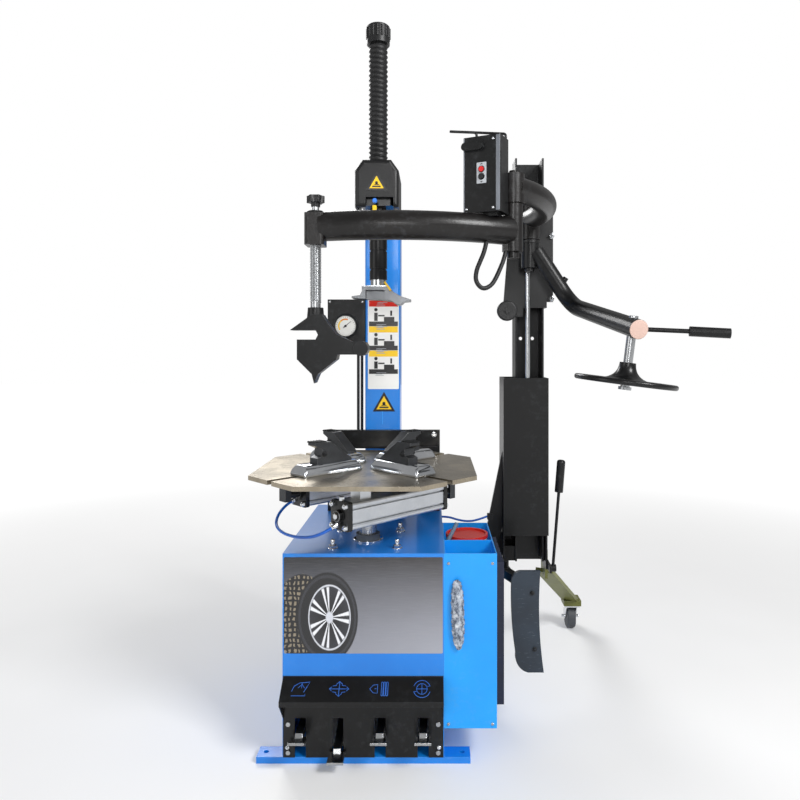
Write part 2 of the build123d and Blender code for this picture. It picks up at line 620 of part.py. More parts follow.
# ---- Hexagonal shaft: collar below the head, slides through the arm into the bellows ----
shaft_bottom = 1350.0
collar_top = 1545.0
collar_radius = 28.0
shaft_top = cover_top + bellows_height
with BuildPart() as hex_shaft:
    with BuildSketch(Plane(origin=(shaft_x, shaft_y, shaft_bottom))) as hexagon:
        RegularPolygon(hex_apothem, 6, major_radius=False)
    extrude(hexagon.sketch, amount=shaft_top - shaft_bottom)
    rod((shaft_x, shaft_y, shaft_bottom), (shaft_x, shaft_y, collar_top), collar_radius)
    for groove in range(3):
        groove_z = shaft_bottom + 30 + 60 * groove
        with BuildSketch(Plane(origin=(shaft_x, shaft_y, groove_z))) as band:
            Circle(collar_radius + 2)
            Circle(collar_radius - 3, mode=Mode.SUBTRACT)
        extrude(band.sketch, amount=6, mode=Mode.SUBTRACT)
hex_shaft.part.label = "hex_shaft"
export_step(hex_shaft.part, "parts/hex_shaft.step")

# ---- Bellows over the shaft's upper end, and the ribbed cap on top ----
fold_pitch = bellows_height / bellows_folds
bellows_inner = hex_corner + 0.6
bellows_valley = bellows_inner + 1.4
with BuildPart() as bellows:
    folds = [(bellows_inner, cover_top)]
    for fold in range(bellows_folds):
        base = cover_top + fold * fold_pitch
        folds += [(bellows_valley, base), (bellows_radius, base + fold_pitch * 0.35),
                  (bellows_radius, base + fold_pitch * 0.65)]
    folds += [(bellows_valley, shaft_top), (bellows_inner, shaft_top)]
    with BuildSketch(Plane(origin=(shaft_x, shaft_y, 0), x_dir=(1, 0, 0), z_dir=(0, -1, 0))) as half_section:
        with BuildLine():
            Polyline(*folds, close=True)
        make_face()
    revolve(half_section.sketch, axis=Axis((shaft_x, shaft_y, 0), (0, 0, 1)))
bellows.part.label = "bellows"
export_step(bellows.part, "parts/bellows.step")

with BuildPart() as shaft_cap:
    rod((shaft_x, shaft_y, shaft_top), (shaft_x, shaft_y, shaft_top + cap_height), cap_radius - 3)
    chamfer(shaft_cap.edges().group_by(Axis.Z)[-1], length=4)
    for rib in range(16):
        angle = radians(360 * rib / 16)
        centre = (shaft_x + (cap_radius - 3) * cos(angle), shaft_y + (cap_radius - 3) * sin(angle))
        rod((*centre, shaft_top + 18), (*centre, shaft_top + cap_height - 8), 3)
shaft_cap.part.label = "shaft_cap"
export_step(shaft_cap.part, "parts/shaft_cap.step")

# ---- Mount head: steel collar and a duck-bill shoe with a roller nose ----
with BuildPart() as mount_head:
    rod((shaft_x, shaft_y, shaft_bottom - 22), (shaft_x, shaft_y, shaft_bottom), 25)
    shoe = [
        (-50, 1330), (-50, 1312), (-56, 1300), (-82, 1296), (-82, 1291), (-46, 1288), (10, 1285), (46, 1281),
        (58, 1271), (76, 1271), (84, 1279), (104, 1281), (105, 1286), (72, 1297), (50, 1310), (34, 1330),
    ]
    shoe_plane = Plane(origin=(shaft_x, shaft_y, 0), x_dir=(1, 0, 0), z_dir=(0, -1, 0))
    profile(shoe_plane, shoe, 30, both=True)
    block((shaft_x - 38, shaft_x + 22), (shaft_y - 31, shaft_y - 8), (1280, 1316), Mode.SUBTRACT)
    rod((shaft_x + 67, shaft_y - 30, 1280), (shaft_x + 67, shaft_y + 30, 1280), 11)
mount_head.part.label = "mount_head"
export_step(mount_head.part, "parts/mount_head.step")

# ---- Side box: open tray in front, a pocket for the soap bucket behind a cross wall ----
box_right = half_cabinet + 144
box_back = 192.0
box_bottom = 96.0
tray_depth = 127.0
box_left = half_cabinet
tray_wall = cabinet_front + sheet + tray_depth
with BuildPart() as side_box:
    block((box_left, box_right), (cabinet_front, box_back), (box_bottom, cabinet_top))
    block((box_left + sheet, box_right - sheet), (cabinet_front + sheet, tray_wall),
          (box_bottom + sheet, cabinet_top + 1), Mode.SUBTRACT)
    block((box_left + sheet, box_right - sheet), (tray_wall + sheet, box_back - sheet),
          (box_bottom + sheet, cabinet_top + 1), Mode.SUBTRACT)
side_box.part.label = "side_box"
export_step(side_box.part, "parts/side_box.step")

bucket_radius = 62.0
bucket_x = (box_left + box_right) / 2
bucket_y = tray_wall + sheet + bucket_radius + 8
bucket_height = 180.0
bucket_bottom = cabinet_top - bucket_height - 8
with BuildPart() as bucket:
    with BuildSketch(Plane(origin=(bucket_x, bucket_y, bucket_bottom))):
        Circle(bucket_radius - 8)
    with BuildSketch(Plane(origin=(bucket_x, bucket_y, bucket_bottom + bucket_height))):
        Circle(bucket_radius)
    loft()
    with BuildSketch(Plane(origin=(bucket_x, bucket_y, bucket_bottom + sheet))):
        Circle(bucket_radius - 10)
    with BuildSketch(Plane(origin=(bucket_x, bucket_y, bucket_bottom + bucket_height + 0.01))):
        Circle(bucket_radius - 2)
    loft(mode=Mode.SUBTRACT)
    block((bucket_x - 45, bucket_x + 45), (bucket_y - 40, bucket_y + 40), (box_bottom + sheet, bucket_bottom))
bucket.part.label = "bucket"
export_step(bucket.part, "parts/bucket.step")

lid_bottom = bucket_bottom + bucket_height
with BuildPart() as bucket_lid:
    rod((bucket_x, bucket_y, lid_bottom), (bucket_x, bucket_y, lid_bottom + 10), bucket_radius + 1.5)
    rod((bucket_x, bucket_y, lid_bottom + 5), (bucket_x, bucket_y, lid_bottom + 11), bucket_radius - 4, Mode.SUBTRACT)
bucket_lid.part.label = "bucket_lid"
export_step(bucket_lid.part, "parts/bucket_lid.step")

# ---- Paste brush standing beside the bucket, its handle bent over the rim ----
brush_x = box_left + sheet + 11
brush_y = tray_wall + sheet + 14
with BuildPart() as cleaning_brush:
    with BuildLine() as brush_line:
        FilletPolyline((brush_x, brush_y, box_bottom + sheet + 40), (brush_x, brush_y, cabinet_top - 6),
                       (brush_x + 27, brush_y + 20, cabinet_top + 40), radius=20)
    swept_tube(brush_line.wires()[0], 6)
    rod((brush_x, brush_y, box_bottom + sheet), (brush_x, brush_y, box_bottom + sheet + 70), 10)
cleaning_brush.part.label = "cleaning_brush"
export_step(cleaning_brush.part, "parts/cleaning_brush.step")

# ---- Tyre lever in its sleeve, held on the side box's front ----
lever_plane = Plane(origin=(257, cabinet_front, 408), x_dir=(cos(radians(2.5)), 0, sin(radians(2.5))),
                    z_dir=(0, -1, 0))
with BuildPart() as tire_lever:
    with BuildSketch(lever_plane) as sleeve:
        SlotOverall(194, 40, rotation=90)
    extrude(sleeve.sketch, amount=15)
    fillet(tire_lever.edges().group_by(Axis.Y)[0], radius=6)
tire_lever.part.label = "tire_lever"
export_step(tire_lever.part, "parts/tire_lever.step")

# ---- Bead breaker: rubber pad on the side box, swinging arm, bent blade ----
pad_thickness = 20.0
pad_front = -130.0
pad_back = 120.0
pad_bottom = 157.0
pad_top = 546.0
with BuildPart() as rubber_pad:
    block((box_right, box_right + pad_thickness), (pad_front, pad_back), (pad_bottom, pad_top))
    for groove in range(4):
        groove_y = pad_front + 45 + 50 * groove
        block((box_right + pad_thickness - 4, box_right + pad_thickness + 1), (groove_y - 5, groove_y + 5),
              (pad_bottom - 1, pad_top + 1), Mode.SUBTRACT)
rubber_pad.part.label = "rubber_pad"
export_step(rubber_pad.part, "parts/rubber_pad.step")

bead_x = 300.0
bead_y = 300.0
bead_z = 433.0
bead_pin_radius = 16.0
blade_left = 419.0
blade_right = 513.0
blade_bottom = 186.0
blade_top = 480.0
blade_thickness = 16.0
with BuildPart() as bead_arm:
    rod((bead_x, bead_y, bead_z - 40), (bead_x, bead_y, bead_z + 40), bead_pin_radius + 12)
    bend = [(bead_x, bead_y), (400, 262), (420, 120), (462, 22)]
    with BuildSketch(Plane.XY.offset(bead_z - 13)) as arm_face:
        with BuildLine():
            arm_line = FilletPolyline(*bend, radius=50)
        trace(line_width=26)
    extrude(arm_face.sketch, amount=26)
    rod((400, 262, bead_z + 23), (418, 136, bead_z + 23), 7)
    for post in ((400, 262), (418, 136)):
        rod((*post, bead_z), (*post, bead_z + 34), 9)
    block((444, 484), (blade_thickness / 2, 28), (bead_z - 46, bead_z + 30))
    rod((bead_x, bead_y, bead_z - 41), (bead_x, bead_y, bead_z + 41), bead_pin_radius + fit, Mode.SUBTRACT)
bead_arm.part.label = "bead_arm"
export_step(bead_arm.part, "parts/bead_arm.step")

with BuildPart() as bead_blade:
    with BuildSketch(Plane.XZ.offset(-blade_thickness / 2)) as blade_face:
        with BuildLine():
            Line((blade_right - 10, blade_top), (blade_left + 26, blade_top))
            ThreePointArc((blade_left + 26, blade_top), (blade_left + 8, blade_top - 8), (blade_left, blade_top - 26))
            ThreePointArc((blade_left, blade_top - 26), (blade_left + 1, 345), (blade_left + 12, 240))
            ThreePointArc((blade_left + 12, 240), (blade_left + 24, 200), (blade_left + 48, blade_bottom))
            Line((blade_left + 48, blade_bottom), (blade_right, blade_bottom))
            ThreePointArc((blade_right, blade_bottom), (blade_right - 13, 330), (blade_right - 10, blade_top))
        make_face()
    extrude(blade_face.sketch, amount=blade_thickness)
    for hole_x, hole_z in ((479, 418), (486, 254)):
        rod((hole_x, -20, hole_z), (hole_x, -4, hole_z), 6, Mode.SUBTRACT)
bead_blade.part.label = "bead_blade"
export_step(bead_blade.part, "parts/bead_blade.step")

# ---- Housing of the helper arm: channel with a front cover, beam and brace, bead arm lugs ----
housing_left = 428.0
housing_right = 580.0
housing_front = 322.0
housing_back = 442.0
housing_bottom = 380.0
housing_top = 1031.0
cover_face = 300.0          # the channel's front cover stands ahead of the lifting rod
cover_foot = 500.0
mast_left = mast_x - mast_width / 2
mast_right = mast_x + mast_width / 2
mast_back = mast_front + mast_depth
leg_foot = (748.0, 753.0)
lever_pivot = (594.0, 300.0, 392.0)
beam_front = 352.0
with BuildPart() as assist_housing:
    block((housing_left, housing_right), (housing_front, housing_back), (housing_bottom, housing_top))
    block((housing_left, housing_right), (cover_face, housing_front + 1), (cover_foot, housing_top))
    block((housing_left + mast_sheet, housing_right - mast_sheet), (housing_front - 1, housing_back - mast_sheet),
          (housing_bottom - 1, housing_top + 1), Mode.SUBTRACT)
    block((housing_left + mast_sheet, housing_right - mast_sheet), (cover_face + mast_sheet, housing_front + 2),
          (cover_foot - 1, housing_top + 1), Mode.SUBTRACT)
    block((half_cabinet, housing_left + 1), (beam_front, beam_front + 60), (418, 500))
    brace = [(housing_left, 782), (362, 455), (405, 455), (housing_left, 520)]
    profile(Plane.XZ.offset(-beam_front), brace, 12)
    block((376, 394), (beam_front - 16, beam_front - 4), (546, 566))
    for level in (bead_z - 54, bead_z + 42):
        block((half_cabinet, bead_x + 20), (bead_y - 20, beam_front + 1), (level, level + 12))
    rod((bead_x, bead_y, bead_z - 54), (bead_x, bead_y, bead_z + 54), bead_pin_radius)
    block((housing_right, lever_pivot[0] - 7), (lever_pivot[1] - 20, housing_front + 30), (380, 404))
    for hole_z in (935, 700, 533):
        rod((housing_right - 10, housing_front + 50, hole_z), (housing_right + 5, housing_front + 50, hole_z), 5,
            Mode.SUBTRACT)
assist_housing.part.label = "assist_housing"
export_step(assist_housing.part, "parts/assist_housing.step")

with BuildPart() as bead_lever:
    lever_foot = Vector(*lever_pivot)
    lever_end = Vector(621, 292, 757)
    lever_way = (lever_end - lever_foot).normalized()
    rod((lever_pivot[0] - 6, lever_pivot[1], lever_pivot[2]), (lever_pivot[0] + 10, lever_pivot[1], lever_pivot[2]), 12)
    rod(lever_foot, lever_foot + lever_way * 260, 5)
    rod(lever_foot + lever_way * 258, lever_end, 14)
    fillet(bead_lever.edges().group_by(Axis.Z)[-1], radius=8)
bead_lever.part.label = "bead_lever"
export_step(bead_lever.part, "parts/bead_lever.step")

# ---- Outrigger leg with a swivel castor ----
castor_radius = 45.0
castor_trail = 24.0
fork_top = 104.0
with BuildPart() as outrigger_bar:
    leg_start = Vector(housing_right + 5, 420, 345)
    leg_end = Vector(*leg_foot, fork_top + 12)
    leg_span = leg_end - leg_start
    flat = Plane(origin=leg_start, x_dir=(leg_span.Y, -leg_span.X, 0), z_dir=leg_span)
    with BuildSketch(flat):
        Rectangle(64, 14)
    extrude(amount=leg_span.length)
    block((leg_foot[0] - 34, leg_foot[0] + 34), (leg_foot[1] - 34, leg_foot[1] + 34), (fork_top, fork_top + 22))
    block((housing_right, housing_right + 10), (376, 464), (330, 430))
    rod((*leg_foot, fork_top - 1), (*leg_foot, fork_top + 16), 8 + fit, Mode.SUBTRACT)
outrigger_bar.part.label = "outrigger_bar"
export_step(outrigger_bar.part, "parts/outrigger_bar.step")

wheel_y = leg_foot[1] + castor_trail
wheel_half = 17.0
with BuildPart() as castor_fork:
    block((leg_foot[0] - 30, leg_foot[0] + 30), (leg_foot[1] - 26, leg_foot[1] + 26), (fork_top - 8, fork_top - air))
    rod((*leg_foot, fork_top - 2), (*leg_foot, fork_top + 14), 8)
    for side in (-1, 1):
        near = leg_foot[0] + side * (wheel_half + 1)
        far = near + side * 4
        cheek = [(leg_foot[1] - 20, fork_top - 6), (leg_foot[1] + 26, fork_top - 6), (wheel_y + 14, castor_radius),
                 (wheel_y + 6, castor_radius - 12), (wheel_y - 8, castor_radius - 10)]
        profile(Plane.YZ.offset(min(near, far)), cheek, 4)
    rod((leg_foot[0] - 34, wheel_y, castor_radius), (leg_foot[0] + 34, wheel_y, castor_radius), 6)
castor_fork.part.label = "castor_fork"
export_step(castor_fork.part, "parts/castor_fork.step")

with BuildPart() as castor_wheel:
    rod((leg_foot[0] - wheel_half, wheel_y, castor_radius), (leg_foot[0] + wheel_half, wheel_y, castor_radius),
        castor_radius)
    fillet(castor_wheel.edges(), radius=5)
    rod((leg_foot[0] - 40, wheel_y, castor_radius), (leg_foot[0] + 40, wheel_y, castor_radius), 6 + fit, Mode.SUBTRACT)
castor_wheel.part.label = "castor_wheel"
export_step(castor_wheel.part, "parts/castor_wheel.step")

# ---- Mast: fixed channel in the housing, and the carriage that climbs it ----
with BuildPart() as assist_mast:
    block((mast_left, mast_right), (mast_front, mast_back), (housing_bottom + 20, mast_top))
    block((mast_left + mast_sheet, mast_right - mast_sheet), (mast_front - 1, mast_back - mast_sheet),
          (housing_bottom + 19, mast_top + 1), Mode.SUBTRACT)
    for hole_x in (mast_x - 20, mast_x + 22):
        for hole_z in (1167, 1688):
            rod((hole_x, mast_back - 10, hole_z), (hole_x, mast_back + 5, hole_z), 6, Mode.SUBTRACT)
    for level in (housing_bottom + 20, housing_top - 60):
        for near, far in ((housing_left + mast_sheet, mast_left), (mast_right, housing_right - mast_sheet)):
            block((near, far), (mast_front + 10, mast_back - 10), (level, level + 50))
assist_mast.part.label = "assist_mast"
export_step(assist_mast.part, "parts/assist_mast.step")

carriage_bottom = 1270.0
carriage_top = 1662.0
carriage_sheet = 8.0
plate_front = mast_front - air - 10
lug_levels = (1478.5, 1602.0)
pin_bottom = 1386.0
lug_thickness = 10.0
with BuildPart() as assist_carriage:
    left = mast_left - air
    right = mast_right + air
    block((left - carriage_sheet, right + carriage_sheet), (plate_front, mast_front - air),
          (carriage_bottom, carriage_top))
    for near, far in ((left - carriage_sheet, left), (right, right + carriage_sheet)):
        block((near, far), (plate_front, mast_back), (carriage_bottom, carriage_top))
    block((mast_right + carriage_sheet, mast_right + 30), (plate_front, plate_front + 8), (1290, 1650))
    for level in lug_levels:
        with BuildSketch(Plane.XY.offset(level)) as lug_face:
            with Locations((hinge_x, hinge_y)):
                Circle(30)
            with Locations((hinge_x, (hinge_y + plate_front) / 2)):
                Rectangle(60, plate_front - hinge_y)
        extrude(lug_face.sketch, amount=lug_thickness)
    rod((hinge_x, hinge_y, pin_bottom), (hinge_x, hinge_y, lug_levels[1] + 30), hinge_radius)
    rod((hinge_x, hinge_y, pin_bottom), (hinge_x, hinge_y, pin_bottom + 10), hinge_radius + 4)
    gusset = [(left - carriage_sheet, 1500), (left - carriage_sheet - 16, 1500), (428, 1240), (left + 26, 1240),
              (left + 26, carriage_bottom)]
    profile(Plane.XZ.offset(-plate_front - 10), gusset, 10)
    for bolt_z in (1640, 1515, 1402, 1300):
        rod((mast_right + 20, plate_front - 8, bolt_z), (mast_right + 20, plate_front, bolt_z), 8)
    rod((hinge_x, plate_front - 14, 906), (hinge_x, plate_front - 14, lug_levels[0] + 1), 8.5)
    rod((440, plate_front + 1, 1258), (440, plate_front - 48, 1258), 8)
assist_carriage.part.label = "assist_carriage"
export_step(assist_carriage.part, "parts/assist_carriage.step")

# ---- Press roller on the carriage's gusset ----
roller_z = 1258.0
roller_y = plate_front - 36.0
with BuildPart() as press_roller:
    rod((440, roller_y - 6, roller_z), (440, roller_y + 16, roller_z), 34)
    fillet(press_roller.edges(), radius=6)
    rod((440, roller_y - 10, roller_z), (440, roller_y + 40, roller_z), 8 + fit, Mode.SUBTRACT)
press_roller.part.label = "press_roller"
export_step(press_roller.part, "parts/press_roller.step")

# ---- Link arm: bent tube between the carriage's pin and the elbow pin ----
with BuildPart() as link_arm:
    rod((hinge_x, hinge_y, 1491), (hinge_x, hinge_y, 1601), hinge_radius + 18)
    rod((elbow_x, elbow_y, 1521), (elbow_x, elbow_y, 1600), 30)
    with BuildLine() as link_line:
        ThreePointArc((elbow_x, elbow_y, link_z), (526, 50, link_z), (hinge_x, hinge_y, link_z))
    swept_tube(link_line.wires()[0], tube_radius - 4, tube_radius - 4 - tube_wall)
    rod((elbow_x, elbow_y, 1376), (elbow_x, elbow_y, 1610), 12)
    rod((elbow_x, elbow_y, 1374), (elbow_x, elbow_y, 1390.4), 16)
    rod((hinge_x, hinge_y, 1490), (hinge_x, hinge_y, 1602), hinge_radius + fit, Mode.SUBTRACT)
link_arm.part.label = "link_arm"
export_step(link_arm.part, "parts/link_arm.step")

# ---- Boom: bowed tube over the turntable, elbow sleeve, end block and lug for the hose ----
boom_start = (elbow_x - 12, elbow_y - 4, boom_z)
boom_end = (press_x + 20, press_y - 1, boom_z)
with BuildPart() as boom_arm:
    with BuildLine() as boom_line:
        ThreePointArc(boom_start, (140, -240, boom_z), boom_end)
    swept_tube(boom_line.wires()[0], tube_radius, tube_radius - tube_wall)
    rod((elbow_x, elbow_y, 1391), (elbow_x, elbow_y, 1520), elbow_radius + 4)
    with BuildSketch(Plane.XY.offset(boom_z - 50)) as end_face:
        with Locations((press_x, press_y)):
            RectangleRounded(50, 64, 8)
    extrude(end_face.sketch, amount=82)
    block((elbow_x - 30, elbow_x - 8), (elbow_y - 20, elbow_y + 4), (1391, 1412))
    rod((elbow_x, elbow_y, 1390), (elbow_x, elbow_y, 1521), 12 + fit, Mode.SUBTRACT)
    rod((press_x, press_y, boom_z - 60), (press_x, press_y, boom_z + 60), press_radius + fit, Mode.SUBTRACT)
boom_arm.part.label = "boom_arm"
export_step(boom_arm.part, "parts/boom_arm.step")

# ---- Control box on the boom, with its wire handle and two buttons ----
box_turn = radians(25)
box_width = 104.0
box_depth = 68.0
box_height = 199.0
box_plane = Plane(origin=(269, -193, boom_z + tube_radius + 1), x_dir=(cos(box_turn), -sin(box_turn), 0),
                  z_dir=(0, 0, 1))
button_heights = (112.0, 93.0)
button_along = 52.0
button_radius = 7.0
with BuildPart() as control_box:
    with BuildSketch(box_plane) as box_base:
        with Locations((box_width / 2, box_depth / 2)):
            RectangleRounded(box_width, box_depth, 5)
    extrude(box_base.sketch, amount=box_height)
    box_front = Plane(origin=box_plane.origin, x_dir=box_plane.x_dir, z_dir=(-sin(box_turn), -cos(box_turn), 0))
    for height in button_heights:
        with BuildSketch(box_front) as button_well:
            with Locations((button_along, height)):
                Circle(button_radius + 0.5)
        extrude(button_well.sketch, amount=-12, mode=Mode.SUBTRACT)
    with BuildSketch(box_front) as grip_face:
        with Locations((28, box_height - 26)):
            SlotOverall(60, 22)
    extrude(grip_face.sketch, amount=10)
    with BuildSketch(box_plane.offset(-9)) as stand:
        with Locations((box_width - 34, box_depth / 2 - 4)):
            Rectangle(40, 30)
    extrude(stand.sketch, amount=10)
    handle_feet = [box_plane.from_local_coords((36, 6, box_height)), box_plane.from_local_coords((98, 60, box_height))]
    handle_points = [
        handle_feet[0] - Vector(0, 0, 4), handle_feet[0] + Vector(0, 0, 12), Vector(229, -196, 1702),
        Vector(284, -128, 1722), handle_feet[1] + Vector(0, 0, 16), handle_feet[1] - Vector(0, 0, 4),
    ]
    with BuildLine() as handle_line:
        FilletPolyline(*handle_points, radius=8)
    swept_tube(handle_line.wires()[0], 3.5)
control_box.part.label = "control_box"
export_step(control_box.part, "parts/control_box.step")

for colour, height in zip(("red", "black"), button_heights):
    with BuildPart() as button:
        with BuildSketch(box_front.offset(-8)) as button_face:
            with Locations((button_along, height)):
                Circle(button_radius)
        extrude(button_face.sketch, amount=12)
    button.part.label = f"{colour}_button"
    export_step(button.part, f"parts/{colour}_button.step")

# ---- Press screw with its star knob, and the press tool that hangs on it ----
screw_bottom = 1222.0
thread_bottom = 1248.0
block_top = boom_z + 32
with BuildPart() as press_screw:
    rod((press_x, press_y, screw_bottom), (press_x, press_y, block_top + 22), press_radius - 2)
    rod((press_x, press_y, thread_bottom), (press_x, press_y, block_top + 2), press_radius)
    rod((press_x, press_y, block_top + air), (press_x, press_y, block_top + 20), 9)
    rod((press_x, press_y, block_top + 20), (press_x, press_y, block_top + 48), 18)
    for point in range(6):
        angle = radians(60 * point)
        tip = (press_x + 18 * cos(angle), press_y + 18 * sin(angle))
        rod((*tip, block_top + 28), (*tip, block_top + 48), 6)
press_screw.part.label = "press_screw"
export_step(press_screw.part, "parts/press_screw.step")

with BuildPart() as press_tool:
    tool_plane = Plane(origin=(0, press_y, 0), x_dir=(1, 0, 0), z_dir=(0, -1, 0))
    body_outline = [
        (-121, 1218), (-178, 1177), (-112, 1177), (-106, 1165), (-112, 1153), (-160, 1153), (-160, 1102),
        (-122, 1064), (-116, 1040), (-106, 1064), (-58, 1102), (-56, 1114), (17, 1114), (17, 1146), (-20, 1148),
        (-58, 1166), (-82, 1196), (-95, 1218),
    ]
    profile(tool_plane, body_outline, 26, both=True)
    with BuildSketch(Plane(origin=(press_x, press_y, 1180))):
        Circle(25)
    with BuildSketch(Plane(origin=(press_x, press_y, screw_bottom + 14))):
        Circle(press_radius + 5)
    loft()
    rod((4, press_y - 30, 1130), (4, press_y + 30, 1130), 19)
    rod((press_x, press_y, screw_bottom - air), (press_x, press_y, screw_bottom + 15), press_radius - 2 + fit,
        Mode.SUBTRACT)
press_tool.part.label = "press_tool"
export_step(press_tool.part, "parts/press_tool.step")

# ---- Lifter arm, its hand rod, and the pressing disc on a slanted shaft ----
lifter_end = Vector(721, -233, 1179)
lifter_bend = Vector(641, 217, 1269)
lifter_way = (lifter_end - lifter_bend).normalized()
shaft_way = Vector(-0.125, 0, -0.992).normalized()
shaft_cross = lifter_bend + lifter_way * ((lifter_end - lifter_bend).length - 36)
lifter_shaft_radius = 12.0
with BuildPart() as lifter_arm:
    rod((hinge_x, hinge_y, 1397), (hinge_x, hinge_y, 1477), hinge_radius + 16)
    with BuildLine() as lifter_line:
        FilletPolyline((hinge_x + 20, hinge_y - 17, 1450), lifter_bend, lifter_end, radius=90)
    swept_tube(lifter_line.wires()[0], lifter_radius)
    rod(Vector(600, 236, 1322), Vector(625, 232, 1362), 9)
    rod(Vector(735, -215, 1180), Vector(850, -240, 1174), 6)
    rod(Vector(849, -239.8, 1174), Vector(946, -260, 1168), 13)
    rod((hinge_x, hinge_y, 1396), (hinge_x, hinge_y, 1478), hinge_radius + fit, Mode.SUBTRACT)
    rod(shaft_cross - shaft_way * 60, shaft_cross + shaft_way * 60, lifter_shaft_radius + fit, Mode.SUBTRACT)
lifter_arm.part.label = "lifter_arm"
export_step(lifter_arm.part, "parts/lifter_arm.step")

hub_start = shaft_cross + shaft_way * 94
with BuildPart() as lifter_shaft:
    rod(shaft_cross - shaft_way * 30, shaft_cross + shaft_way * 160, lifter_shaft_radius)
    rod(shaft_cross + shaft_way * 158, shaft_cross + shaft_way * 166, lifter_shaft_radius + 5)
lifter_shaft.part.label = "lifter_shaft"
export_step(lifter_shaft.part, "parts/lifter_shaft.step")

disc_plane = Plane(origin=hub_start, x_dir=(1, 0, -0.126), z_dir=shaft_way)
with BuildPart() as lifter_disc:
    with BuildSketch(disc_plane) as hub:
        Circle(21)
    extrude(hub.sketch, amount=24)
    with BuildSketch(disc_plane.offset(22)):
        Circle(26)
    with BuildSketch(disc_plane.offset(46)):
        Circle(66)
    loft()
    with BuildSketch(disc_plane.offset(44)) as plate:
        Circle(disc_radius)
    extrude(plate.sketch, amount=14)
    fillet(lifter_disc.edges().filter_by(GeomType.CIRCLE).sort_by(SortBy.RADIUS)[-2:], radius=6)
    rod(hub_start - shaft_way * 5, hub_start + shaft_way * 63.4, lifter_shaft_radius + fit, Mode.SUBTRACT)
lifter_disc.part.label = "lifter_disc"
export_step(lifter_disc.part, "parts/lifter_disc.step")

# ---- Free hoses ----
hoses = (
    ("coupling_hose", coupling_hose_route, coupling_hose_radius),
    ("boom_hose", boom_hose_route, boom_hose_radius),
    ("air_hose", air_hose_route, air_hose_radius),
)
for name, route, radius in hoses:
    wire = hose_path(name, route, radius)
    with BuildPart() as hose:
        swept_tube(wire, radius)
    print(name, "volume", round(hose.part.volume, 1))
    hose.part.label = name
    export_step(hose.part, f"parts/{name}.step")
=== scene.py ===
import math

import bmesh
import bpy
from mathutils import Matrix, Vector


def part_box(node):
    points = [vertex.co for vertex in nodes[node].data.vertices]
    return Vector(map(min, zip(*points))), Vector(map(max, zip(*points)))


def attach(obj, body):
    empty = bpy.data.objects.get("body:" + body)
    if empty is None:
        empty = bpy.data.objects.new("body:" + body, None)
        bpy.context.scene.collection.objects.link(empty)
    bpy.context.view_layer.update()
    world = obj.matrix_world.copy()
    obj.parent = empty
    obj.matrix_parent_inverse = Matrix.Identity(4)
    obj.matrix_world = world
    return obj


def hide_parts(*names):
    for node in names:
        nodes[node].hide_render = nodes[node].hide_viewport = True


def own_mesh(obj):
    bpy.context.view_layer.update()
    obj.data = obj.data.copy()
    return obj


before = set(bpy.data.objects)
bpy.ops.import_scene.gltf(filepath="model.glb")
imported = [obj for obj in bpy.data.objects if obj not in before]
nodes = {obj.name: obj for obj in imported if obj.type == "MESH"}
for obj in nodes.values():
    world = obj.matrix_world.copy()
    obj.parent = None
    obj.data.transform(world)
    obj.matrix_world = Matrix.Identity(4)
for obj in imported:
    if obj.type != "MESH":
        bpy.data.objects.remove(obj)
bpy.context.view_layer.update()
scene = bpy.context.scene
scene.view_settings.view_transform = "Standard"
print("frame loaded,", len(nodes), "nodes")

# camera
cameraView = {
    "place": (0.187, -1.983, 1.126),
    "lens": 30.5,
    "sensor": 36,
    "shift": (-0.04, -0.0625),
}
cameraData = bpy.data.cameras.new("camera")
cameraData.lens = cameraView["lens"]
cameraData.sensor_width = cameraView["sensor"]
cameraData.shift_x, cameraData.shift_y = cameraView["shift"]
cameraData.clip_end = 60
camera = bpy.data.objects.new("camera", cameraData)
camera.location = cameraView["place"]
camera.rotation_euler = (math.pi / 2, 0, 0)
scene.collection.objects.link(camera)
scene.camera = camera


# free hoses, each one smooth line through given points, in metres
# the curve's own depth is 1, so that each point's radius is the hose's radius
def makeHose(name, route, radius):
    data = bpy.data.curves.new(name, "CURVE")
    data.dimensions = "3D"
    data.resolution_u = 8
    data.bevel_depth = 1
    data.bevel_resolution = 5
    data.use_fill_caps = True
    line = data.splines.new("NURBS")
    line.points.add(len(route) - 1)
    for point, place in zip(line.points, route):
        point.co = (*place, 1)
        point.radius = radius
    line.order_u = 3
    line.use_endpoint_u = True
    hose = bpy.data.objects.new(name, data)
    scene.collection.objects.link(hose)
    return hose


couplingHose = {
    "radius": 0.004,
    "length": 0.410,
    "route": [
        (-0.2128, -0.0007, 0.690), (-0.232, -0.020, 0.681), (-0.250, -0.058, 0.660),
        (-0.247, -0.106, 0.642), (-0.219, -0.156, 0.634), (-0.176, -0.206, 0.636),
        (-0.134, -0.252, 0.646), (-0.102, -0.279, 0.659), (-0.076, -0.283, 0.672),
        (-0.0559, -0.268, 0.682),
    ],
}
boomHose = {
    "radius": 0.006,
    "length": 0.267,
    "route": [
        (0.330, -0.199, 1.410), (0.325, -0.202, 1.386), (0.314, -0.204, 1.360),
        (0.303, -0.204, 1.334), (0.301, -0.203, 1.306), (0.320, -0.198, 1.285),
        (0.344, -0.190, 1.296), (0.359, -0.181, 1.321), (0.370, -0.172, 1.346),
        (0.380, -0.165, 1.369), (0.385, -0.162, 1.391),
    ],
}
airHose = {
    "radius": 0.0035,
    "length": 0.160,
    "route": [
        (0.220, 0.335, 0.556), (0.243, 0.335, 0.556), (0.276, 0.334, 0.545),
        (0.312, 0.333, 0.540), (0.346, 0.334, 0.546), (0.376, 0.340, 0.556),
    ],
}
hoses = {}
